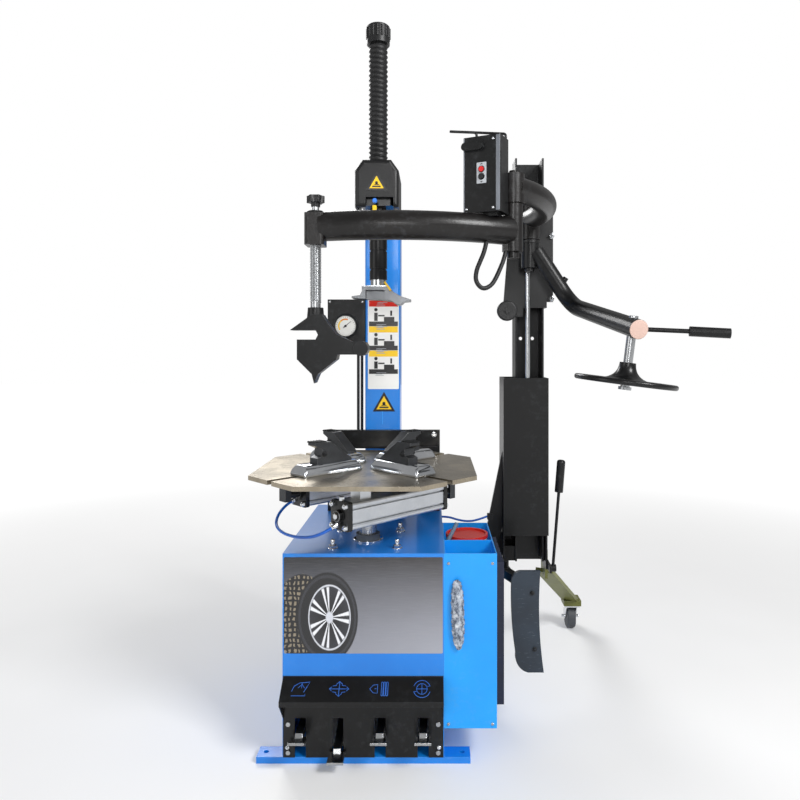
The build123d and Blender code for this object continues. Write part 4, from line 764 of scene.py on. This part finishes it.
# thin raised strips along the column's seam in a lighter blue than the column: a painted highlight of the
# seam
shape = bmesh.new()
plate(shape, box(-0.0012, 0.868, 0.0024, 0.045), (0.015, 0.3744, 0), xAxis, zAxis, 0.0008)
plate(shape, box(-0.0012, 1.31, 0.0024, 0.255), (0.015, 0.3744, 0), xAxis, zAxis, 0.0008)
addPiece("column_seam_painted_highlight", "column", "box_blue", shape)
print("stickers laid")

# gauge dial, its coloured arc, ticks and needle
dialPlan = {"centre": (-0.112, 0.3607, 1.209), "radius": 0.0352, "ticks": 21}
dialX, dialY, dialZ = dialPlan["centre"]
shape = bmesh.new()
turn(shape, [(0, dialPlan["radius"]), (0.0006, dialPlan["radius"])], dialPlan["centre"], toFront, 48)
addPiece("gauge_dial", "column", "dial_white", shape)
for name, finishName, first, last, inner, outer in (
    ("gauge_arc_low", "sticker_yellow", 215, 130, 0.021, 0.026),
    ("gauge_arc_high", "dial_orange", 130, 70, 0.021, 0.026),
):
    ring = ([(x, y) for x, y in arc(0, 0, outer, first, last, 16)] +
            [(x, y) for x, y in arc(0, 0, inner, last, first, 16)])
    shape = bmesh.new()
    plate(shape, ring, (dialX, dialY - 0.0008, dialZ), xAxis, zAxis, 0.0004)
    addPiece(name, "column", finishName, shape)
shape = bmesh.new()
for tick in range(dialPlan["ticks"]):
    angle = math.radians(225 - 270 * tick / (dialPlan["ticks"] - 1))
    long = 0.005 if tick % 5 == 0 else 0.003
    out = Vector((math.cos(angle), 0, math.sin(angle)))
    flat = Vector((-math.sin(angle), 0, math.cos(angle)))
    plate(shape, box(-0.0004, 0.0325 - long, 0.0008, long), (dialX, dialY - 0.0008, dialZ), -flat, out,
          0.0004)
needleWay = math.radians(40)
out = Vector((math.cos(needleWay), 0, math.sin(needleWay)))
flat = Vector((math.sin(needleWay), 0, -math.cos(needleWay)))
plate(shape, [(-0.0016, -0.009), (0.0016, -0.009), (0.0004, 0.026), (-0.0004, 0.026)],
      (dialX, dialY - 0.0026, dialZ),
      flat, out, 0.0006)
turn(shape, [(0.0006, 0.004), (0.003, 0.004), (0.0036, 0.003)], dialPlan["centre"], toFront, 20)
addPiece("gauge_needle", "column", "button_black", shape)
shape = bmesh.new()
bezel = [(0.0, 0.0432), (0.002, 0.0432), (0.004, 0.0405), (0.0135, 0.0396), (0.0148, 0.0385),
         (0.0148, 0.0362)]
turn(shape, bezel, (dialX, 0.3716, dialZ), toFront, 56)
inside = [face for face in shape.faces if len(face.verts) > 8]
bmesh.ops.delete(shape, geom=inside, context="FACES_ONLY")
rimEdges = [edge for edge in shape.edges if edge.is_boundary]
bmesh.ops.bridge_loops(shape, edges=rimEdges)
addPiece("gauge_bezel", "column", "black_moulding", shape)
print("gauge drawn")

# finishes that change over one CAD piece: the mask picks the second finish's colours by place
def makeSplit(name, base, other, makeMask):
    finish = Finish(name)
    edgeWearAndHighlight = finish.edges(0.0012)
    mask = makeMask(finish)
    cloud = finish.noise(7, 4)
    grain = finish.noise(160, 4, 0.6)
    first = finish.mix(cloud.band(0.3, 0.7), linear(base["low"]), linear(base["high"]))
    second = finish.mix(cloud.band(0.3, 0.7), linear(other["low"]), linear(other["high"]))
    colour = finish.mix(mask, first, second)
    # edges are lightened towards grey: partly real wear, partly a painted highlight along every edge
    colour = finish.mix(edgeWearAndHighlight * 0.3, colour, linear("8b8e92"))
    rough = finish.blend(mask, base["rough"], other["rough"]) + (grain - 0.5) * 0.14
    metal = finish.blend(mask, base.get("metal", 0.0), other.get("metal", 0.0))
    return finish.done(colour, rough, metal, grain, 0.0001, finish.softNormal)


def distanceFrom(finish, x, y):
    across = finish.place.part("X") - x
    deep = finish.place.part("Y") - y
    return (across * across + deep * deep).math("SQRT")


blackPart = {"low": "060607", "high": "0d0e10", "rough": 0.38}
steelPart = {"low": "a6a8aa", "high": "cfd1d3", "rough": 0.22, "metal": 1.0}
splits = {"pedalEdge": -0.150, "collarTop": 1.328, "liftRod": (0.512, 0.0092), "liftTop": 1.388}
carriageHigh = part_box("assist_carriage")[1]
mastLow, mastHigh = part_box("assist_mast")


def liftRodMask(finish):
    # the polished lifting rod stands in front of the mast's channel
    near = distanceFrom(finish, splits["liftRod"][0], mastLow.y - 0.0246)
    return near.band(0.0115, 0.0105) * (finish.place.part("Z") < splits["liftTop"])


finishes["pedal_two_tone"] = makeSplit("pedal_two_tone", blackPart, steelPart,
                                       lambda finish: finish.place.part("Y") < splits["pedalEdge"])
finishes["mount_two_tone"] = makeSplit("mount_two_tone",
                                       {"low": "4b4c4e", "high": "77797c", "rough": 0.34, "metal": 1.0},
                                       steelPart, lambda finish: finish.place.part("Z") > splits["collarTop"])
finishes["carriage_two_tone"] = makeSplit("carriage_two_tone", blackPart, steelPart, liftRodMask)
for number in range(4):
    wear(nodes[f"pedal_{number + 1}"], "pedal_two_tone")
wear(nodes["mount_head"], "mount_two_tone")
wear(nodes["assist_carriage"], "carriage_two_tone")

# chrome domes over the four jaw slides, bulging and rounded
domePlan = {"inner": 0.0505, "outer": 0.2445, "half": 0.0365, "low": 0.7888, "top": 0.8166,
            "shrink": 0.0125, "levels": 8}
toothPlan = {"count": 5, "first": 0.1955, "pitch": 0.009, "low": 0.8735, "top": 0.8775, "half": 0.0165}
jawBolt = {"along": 0.168, "side": 0.0172, "height": 0.842, "size": 0.0075}
for number in range(4):
    angle = math.radians(45 + 90 * number)
    outward = Vector((math.cos(angle), math.sin(angle), 0))
    sideways = Vector((math.sin(angle), -math.cos(angle), 0))
    middle = (domePlan["inner"] + domePlan["outer"]) / 2
    half = (domePlan["outer"] - domePlan["inner"]) / 2
    shape = bmesh.new()
    rings = []
    for level in range(domePlan["levels"] + 1):
        share = level / domePlan["levels"]
        shrink = domePlan["shrink"] * share ** 2.4
        height = domePlan["low"] + (domePlan["top"] - domePlan["low"]) * share
        ring = [shape.verts.new(outward * (middle + x) + sideways * y + zAxis * height)
                for x, y in roundBox(-half + shrink, -domePlan["half"] + shrink, 2 * (half - shrink),
                                     2 * (domePlan["half"] - shrink), 0.004 + 0.004 * share, 5)]
        rings.append(ring)
    for low, high in zip(rings, rings[1:]):
        for step in range(len(low)):
            shape.faces.new((low[step - 1], low[step], high[step], high[step - 1]))
    shape.faces.new(rings[0])
    shape.faces.new(rings[-1])
    addPiece(f"jaw_dome_{number + 1}", f"jaw_{number + 1}", "rod_chrome", shape, 50)
    shape = bmesh.new()
    for tooth in range(toothPlan["count"]):
        along = toothPlan["first"] - toothPlan["pitch"] * tooth
        low, top = toothPlan["low"], toothPlan["top"]
        plate(shape, [(along, low), (along + 0.0075, low), (along + 0.0038, top)],
              sideways * toothPlan["half"], outward, zAxis, 2 * toothPlan["half"])
    boltPlace = outward * jawBolt["along"] + zAxis * jawBolt["height"]
    for way in (sideways, -sideways):
        hexBolt(shape, boltPlace + way * jawBolt["side"], way, jawBolt["size"])
    addPiece(f"jaw_teeth_{number + 1}", f"jaw_{number + 1}", "frame_black", shape)
print("jaw domes rounded")

# black end caps, tie nuts and ports on the two clamp cylinders
capPlan = {"half": 0.0376, "deep": 0.0126, "start": -0.217, "end": 0.139, "offset": 0.150, "axis": 0.705}
for number, degrees in enumerate((45, 225)):
    angle = math.radians(degrees)
    outward = Vector((math.cos(angle), math.sin(angle), 0))
    sideways = Vector((math.sin(angle), -math.cos(angle), 0))
    centre = sideways * capPlan["offset"] + zAxis * capPlan["axis"]
    half = capPlan["half"]
    shape = bmesh.new()
    nuts = bmesh.new()
    bore = circle(0, 0, 0.0112, 20)
    for along, way in ((capPlan["start"] - 0.0003, -outward), (capPlan["end"] + 0.0003, outward)):
        right = zAxis.cross(way)
        holes = (bore,) if way.dot(outward) > 0 else ()
        plate(shape, roundBox(-half, -half, 2 * half, 2 * half, 0.006), centre + outward * along, right,
              zAxis,
              capPlan["deep"], 0.0015, holes)
        for sideX in (-1, 1):
            for sideZ in (-1, 1):
                spot = centre + outward * along + right * (sideX * 0.027) + zAxis * (sideZ * 0.027)
                turn(nuts, [(0, 0.0078), (0.0065, 0.0078), (0.008, 0.0066)], spot, way, 6)
                turn(nuts, [(0.006, 0.004), (0.0105, 0.004), (0.0112, 0.0032)], spot, way, 14)
        turn(nuts, [(0, 0.0075), (0.009, 0.0075), (0.01, 0.006)],
             centre + outward * along + way * -0.006 + zAxis * half,
             zAxis, 6)
    front = centre + outward * capPlan["start"]
    turn(shape, [(0, 0.016), (0.010, 0.0155), (0.0125, 0.013)], front, -outward, 28)
    turn(nuts, [(0.0122, 0.0085), (0.0155, 0.0085), (0.0165, 0.007)], front, -outward, 6)
    addPiece(f"clamp_end_caps_{number + 1}", "turntable", "gloss_black", shape)
    addPiece(f"clamp_tie_nuts_{number + 1}", "turntable", "rod_chrome", nuts)
    rails = bmesh.new()
    for sideZ in (-1, 1):
        for face in (-1, 1):
            base = (centre + sideways * (face * 0.0352) + zAxis * (sideZ * 0.0265) +
                    outward * (capPlan["start"] + 0.0126))
            plate(rails, box(-0.003, 0, 0.006, capPlan["end"] - capPlan["start"] - 0.0252), base,
                  zAxis if face > 0 else -zAxis, outward, 0.001)
    addPiece(f"clamp_side_rails_{number + 1}", "turntable", "barrel_aluminium", rails)
# rotary air coupling between the two cylinders, with straight fittings at the hose ends
shape = bmesh.new()
turn(shape, [(0, 0.034), (0.03, 0.034), (0.034, 0.030), (0.052, 0.030), (0.055, 0.026)], (0, 0, 0.705),
     zAxis, 36)
addPiece("coupling_body", "turntable", "gloss_black", shape)
shape = bmesh.new()
for end, away in ((couplingHose["route"][0], couplingHose["route"][1]),
                  (couplingHose["route"][-1], couplingHose["route"][-2])):
    way = (Vector(away) - Vector(end)).normalized()
    turn(shape, [(-0.004, 0.0068), (0.006, 0.0068), (0.007, 0.0055), (0.013, 0.0055), (0.0145, 0.0046)],
         end, way, 16)
addPiece("coupling_fittings", "turntable", "rod_chrome", shape)
print("clamp cylinders dressed")

# press screw: a rolled thread, its smooth tip and the black star knob
screwPlan = {"x": -0.116, "y": -0.218, "low": 1.222, "thread": (1.249, 1.480), "root": 0.0132,
             "crest": 0.0149, "pitch": 0.004, "knob": (1.4985, 1.527)}
sx, sy = screwPlan["x"], screwPlan["y"]
shape = bmesh.new()
turn(shape, [(0, 0.0118), (0.0015, 0.013), (0.030, 0.013)], (sx, sy, screwPlan["low"]), zAxis, 28)
threadLow, threadTop = screwPlan["thread"]
turns = int((threadTop - threadLow) / screwPlan["pitch"])
stepsRound = 24
rows = []
for row in range(4):
    lift = (0.0, 0.35, 0.5, 0.85)[row] * screwPlan["pitch"]
    size = (screwPlan["root"], screwPlan["crest"], screwPlan["crest"], screwPlan["root"])[row]
    line = []
    for step in range(turns * stepsRound + 1):
        angle = 2 * math.pi * step / stepsRound
        height = threadLow + screwPlan["pitch"] * step / stepsRound + lift
        line.append(shape.verts.new((sx + size * math.cos(angle), sy + size * math.sin(angle),
                                     min(height, threadTop))))
    rows.append(line)
for low, high in zip(rows, rows[1:]):
    for step in range(len(low) - 1):
        shape.faces.new((low[step], low[step + 1], high[step + 1], high[step]))
for step in range(len(rows[0]) - stepsRound - 1):
    shape.faces.new((rows[3][step], rows[3][step + 1], rows[0][step + 1 + stepsRound],
                     rows[0][step + stepsRound]))
turn(shape, [(0, 0.0131), (threadTop - threadLow + 0.004, 0.0131)], (sx, sy, threadLow - 0.002), zAxis, 24)
turn(shape, [(0, 0.009), (0.0195, 0.009)], (sx, sy, threadTop), zAxis, 20)
screwPiece = addPiece("press_thread", "screw", "machined_steel", shape)
shape = bmesh.new()
star = []
for step in range(48):
    angle = 2 * math.pi * step / 48
    radius = 0.0202 + 0.0034 * math.cos(6 * angle)
    star.append((radius * math.cos(angle), radius * math.sin(angle)))
knobLow, knobTop = screwPlan["knob"]
plate(shape, star, (sx, sy, knobTop), xAxis, yAxis, 0.0185, 0.0022)
turn(shape, [(0, 0.0115), (knobTop - knobLow - 0.018, 0.0125)], (sx, sy, knobLow), zAxis, 28)
knobPiece = addPiece("press_knob", "screw", "black_moulding", shape, 45)
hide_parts("press_screw")
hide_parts("press_screw")
shape = bmesh.new()
turn(shape, [(0, 0.0215), (0.004, 0.0225), (0.006, 0.0225), (0.0072, 0.021)], (sx, sy, 1.4795), zAxis, 36)
turn(shape, [(0, 0.021), (0.0015, 0.0225), (0.0085, 0.0225), (0.010, 0.0205)], (sx, sy, 1.4035), zAxis, 36)
openEnds(shape)
addPiece("press_collars", "boom", "frame_black", shape)
print("press screw threaded")

# control box: plate with two button rings, side strip and screws
boxPlan = {"origin": (0.269, -0.193, 1.486), "turn": 25, "width": 0.104, "depth": 0.068, "height": 0.199,
           "buttons": (0.112, 0.093),
           "along": 0.052}
boxTurn = math.radians(boxPlan["turn"])
boxRight = Vector((math.cos(boxTurn), -math.sin(boxTurn), 0))
boxOut = Vector((-math.sin(boxTurn), -math.cos(boxTurn), 0))
boxCorner = Vector(boxPlan["origin"])
shape = bmesh.new()
middleZ = sum(boxPlan["buttons"]) / 2
rings = [circle(boxPlan["along"], height, 0.0082, 20) for height in boxPlan["buttons"]]
plate(shape, roundBox(boxPlan["along"] - 0.0135, middleZ - 0.0275, 0.027, 0.055, 0.002, 3),
      boxCorner + boxOut * 0.0006,
      boxRight, zAxis, 0.0008, 0, rings)
addPiece("control_plate", "boom", "sticker_grey", shape)
shape = bmesh.new()
plate(shape, roundBox(boxPlan["width"] - 0.012, 0.002, 0.0105, boxPlan["height"] - 0.004, 0.002, 3),
      boxCorner + boxOut * 0.0012,
      boxRight, zAxis, 0.002, 0.0003)
plate(shape, roundBox(0.0015, 0.002, 0.003, boxPlan["height"] - 0.004, 0.001, 3),
      boxCorner + boxOut * 0.0008,
      boxRight, zAxis, 0.0016, 0.0002)
addPiece("control_edge", "boom", "edge_grey", shape)
shape = bmesh.new()
for x, z in ((0.010, 0.010), (0.084, 0.010), (0.084, 0.189)):
    turn(shape, [(0, 0.0034), (0.001, 0.0034), (0.0018, 0.0022)], boxCorner + boxRight * x + zAxis * z,
         boxOut, 16)
addPiece("control_screws", "boom", "rod_chrome", shape)
shape = bmesh.new()
for height in boxPlan["buttons"]:
    turn(shape, [(0.0003, 0.0089), (0.002, 0.0089), (0.0026, 0.0083)],
         boxCorner + boxRight * boxPlan["along"] + zAxis * height,
         boxOut, 28)
openEnds(shape)
addPiece("control_button_rings", "boom", "button_black", shape)
shape = bmesh.new()
for z, tip in ((0.1245, 0.0035), (0.0805, -0.0035)):
    ring = [(boxPlan["along"] - 0.004, z), (boxPlan["along"] + 0.004, z), (boxPlan["along"], z + tip)]
    plate(shape, ring if tip > 0 else ring[::-1], boxCorner + boxOut * 0.0009, boxRight, zAxis, 0.0006)
addPiece("control_arrows", "boom", "button_black", shape)
print("control box labelled")

# bright fasteners around the machine
shape = bmesh.new()
for x in (-0.09, 0.09):
    for y in (-0.09, 0.09):
        hexBolt(shape, (x, y, 0.572), zAxis, 0.0125)
        turn(shape, [(0.012, 0.006), (0.024, 0.006), (0.0255, 0.005)], (x, y, 0.572), zAxis, 16)
turn(shape, [(0, 0.043), (0.004, 0.043), (0.005, 0.041)], (0, 0, 0.5722), zAxis, 48)
addPiece("cabinet_top_nuts", "machine", "rod_chrome", shape)
bolts("carriage_bolts", "carriage",
      [(mastHigh.x + 0.020, mastLow.y - 0.0166, z) for z in (1.640, 1.515, 1.402, 1.300)],
      toFront, 0.0085)
bolts("carriage_side_bolts", "carriage",
      [(carriageHigh.x - 0.0235, mastLow.y + 0.03, z) for z in (1.62, 1.50, 1.38)], xAxis,
      0.007)
bolts("housing_bolts", "machine", [(0.5805, 0.372, z) for z in (0.985, 0.62, 0.43)], xAxis, 0.007)
bolts("cover_screws", "machine", [(side * 0.2065, -0.1402, z) for side in (-1, 1) for z in (0.045, 0.165)],
      toFront, 0.0048)
bolts("gauge_screws", "column", [(x, 0.3748, z) for x in (-0.168, -0.055) for z in (1.121, 1.294)], toFront,
      0.0034,
      "machined_steel")
bolts("box_screws", "machine", [(x, -0.1382, z) for x in (0.232, 0.352) for z in (0.108, 0.545)], toFront,
      0.0036,
      "machined_steel")
bolts("bracket_bolts", "machine", [(x, 0.3502, z) for x in (-0.152, 0.194) for z in (0.835, 0.64)], toFront,
      0.008)
bolts("blade_bolts", "bead", [(0.479, -0.0085, 0.418), (0.486, -0.0085, 0.254)], toFront, 0.0058,
      "frame_black")
bolts("hinge_nut", "carriage", [(0.512, 0.267, 1.6215)], zAxis, 0.013)
print("fasteners placed")

# crumpled clear sleeve hung on the side box; the tyre lever inside it is not drawn
sleevePlan = {"x": 0.257, "z": 0.408, "half": (0.0185, 0.095), "front": -0.1525, "back": -0.1392,
              "rows": 46, "columns": 14}
halfX, halfZ = sleevePlan["half"]
shape = bmesh.new()
grid = []
for row in range(sleevePlan["rows"] + 1):
    v = -1 + 2 * row / sleevePlan["rows"]
    pinch = (1 - abs(v) ** 3.5) ** 0.5 if abs(v) < 1 else 0.0
    tuft = 0.35 * max(0.0, (v - 0.86) / 0.14)
    line = []
    for column in range(sleevePlan["columns"] * 2):
        turnAngle = 2 * math.pi * column / (sleevePlan["columns"] * 2)
        u, w = math.cos(turnAngle), math.sin(turnAngle)
        crease = (0.0011 * math.sin(23 * v + 4 * turnAngle) + 0.0009 * math.sin(47 * v - 3 * turnAngle + 1.3)
                  + 0.0006 * math.sin(91 * v + 7 * turnAngle))
        wide = halfX * max(0.12, pinch) * (1 + tuft) * 0.93 + crease
        deep = (sleevePlan["back"] - sleevePlan["front"]) / 2 * max(0.25, pinch) * 0.9 + crease * 0.4
        x = sleevePlan["x"] - 0.0025 * v + wide * u
        y = (sleevePlan["front"] + sleevePlan["back"]) / 2 + deep * w
        line.append(shape.verts.new((x, min(max(y, sleevePlan["front"]), sleevePlan["back"]),
                                     sleevePlan["z"] + halfZ * v)))
    grid.append(line)
for low, high in zip(grid, grid[1:]):
    for step in range(len(low)):
        shape.faces.new((low[step - 1], low[step], high[step], high[step - 1]))
shape.faces.new(grid[0])
shape.faces.new(grid[-1])


def makeSleeve():
    finish = Finish("sleeve_film")
    crease = finish.noise(95, 6, 0.7, stretch=(1.0, 1.0, 0.6))
    paintedGlint = finish.noise(36, 4, 0.6)
    # the film darkens in the low folds of the bump and lightens on the raised ones: painted shade and painted
    # highlight, the dark tone also standing in for the lever inside
    colour = finish.mix(crease.band(0.42, 0.62), linear("3f4a5c"), linear("aeb8c6"))
    # near-white spots painted on the film as painted glints
    colour = finish.mix(paintedGlint.band(0.55, 0.72), colour, linear("f2f6fa"))
    rough = 0.16 + crease.band(0.3, 0.8) * 0.25
    return finish.done(colour, rough, 0.0, crease, 0.0016, **{"Coat Weight": 0.6, "Coat Roughness": 0.1})


finishes["sleeve_film"] = makeSleeve()
sleevePiece = addPiece("lever_sleeve", "machine", "sleeve_film", shape, 60)
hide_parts("tire_lever")
print("sleeve crumpled")


# weld beads and small trim
def weld(shape, centre, direction, radius, size=0.0022, squash=1.0):
    way = Vector(direction).normalized()
    side = way.orthogonal().normalized()
    up = way.cross(side)
    steps = 120
    points = [Vector(centre) + side * (math.cos(2 * math.pi * n / steps) * radius)
              + up * (math.sin(2 * math.pi * n / steps) * radius * squash)
              + way * (0.0006 * math.sin(n * 1.9))
              for n in range(steps)]
    tube(shape, points, lambda share: size * (1 + 0.22 * math.sin(share * steps * 1.35)), 8, True)


shape = bmesh.new()
weld(shape, (0.380, -0.1535, 1.447), (1, -0.1, 0), 0.0385)
addPiece("boom_weld", "boom", "arm_brown", shape)
shape = bmesh.new()
stemEnd, stemWay = Vector((0.721, -0.233, 1.179)), Vector((0.080, -0.450, -0.090)).normalized()
turn(shape, [(-0.0004, 0.0252), (0.0008, 0.0256), (0.0016, 0.0245)], stemEnd, stemWay, 40)
addPiece("lifter_end_cap", "lifter", "bare_cap", shape)
shape = bmesh.new()
turn(shape, [(0, 0.007), (0.012, 0.0075), (0.016, 0.006)], (0.010, 0.1215, 1.588), toFront, 20)
addPiece("lock_button", "column", "icon_blue", shape)
shape = bmesh.new()
plate(shape, roundBox(-0.006, -0.010, 0.013, 0.020, 0.003, 3), (0.008, 0.1208, 1.566), Vector((1, 0, 0)),
      zAxis, 0.004, 0.0008)
addPiece("lock_tab", "column", "sticker_yellow", shape)
shape = bmesh.new()
plate(shape, [(0, 0), (0.02, -0.028), (0.025, -0.024), (0.006, 0.003)], (0.035, 0.146, 1.339), xAxis, zAxis,
      0.003, 0.0005)
addPiece("mount_strip", "tool_shaft", "sticker_yellow", shape)
print("welds and trim added")

# floor and soft studio light
studio = {
    "floorSize": 40,
    "ambient": 0.34,
    "lights": [
        # name, place, target, width, watts
        ("key", (2.8, -2.6, 3.4), (0.1, 0.1, 0.8), 1.4, 150),
        ("fill", (-3.6, -2.2, 2.2), (0.1, 0.0, 1.0), 1.8, 26),
        ("rim", (-1.2, 3.2, 3.0), (0.1, 0.1, 1.2), 1.6, 70),
        ("front", (0.1, -4.2, 2.0), (0.1, 0.0, 0.9), 1.2, 38),
    ],
}
floorMesh = bpy.data.meshes.new("floor")
half = studio["floorSize"] / 2
floorMesh.from_pydata([(-half, -half, 0), (half, -half, 0), (half, half, 0), (-half, half, 0)], [],
                      [(0, 1, 2, 3)])
floor = bpy.data.objects.new("floor", floorMesh)
scene.collection.objects.link(floor)
floorFinish = Finish("floor_paper")
floorTone = floorFinish.mix(floorFinish.noise(0.8, 3).band(0.3, 0.7), linear("f3f3f3"), linear("f8f8f8"))
floorX, floorY = floorFinish.place.part("X"), floorFinish.place.part("Y")
spread = floorX * floorX + floorY * floorY
far = spread.math("SQRT").band(1.6, 4.0)
floorTone = floorFinish.mix(far, floorTone, linear("000000"))
floorGlow = floorFinish.mix(far, linear("000000"), linear("ffffff"))
floorMesh.materials.append(floorFinish.done(floorTone, 0.9,
                                            **{"Emission Color": floorGlow, "Emission Strength": 1.0,
                                                               "Specular IOR Level": 0.1}))
for name, place, target, width, watts in studio["lights"]:
    lamp = bpy.data.lights.new(name, "AREA")
    lamp.size = width
    lamp.energy = watts
    light = bpy.data.objects.new(name, lamp)
    light.location = place
    light.rotation_euler = (Vector(target) - Vector(place)).to_track_quat("-Z", "Y").to_euler()
    scene.collection.objects.link(light)
world = bpy.data.worlds.new("studio")
scene.world = world
world.use_nodes = True
# white behind the machine, a softer grey as the light that falls on it
sky = world.node_tree.nodes["Background"]
seen = world.node_tree.nodes.new("ShaderNodeLightPath")
tone = world.node_tree.nodes.new("ShaderNodeMapRange")
tone.inputs["To Min"].default_value = studio["ambient"]
tone.inputs["To Max"].default_value = 1.0
world.node_tree.links.new(seen.outputs["Is Camera Ray"], tone.inputs["Value"])
world.node_tree.links.new(tone.outputs["Result"], sky.inputs["Strength"])
sky.inputs["Color"].default_value = linear("ffffff")
print("studio set")
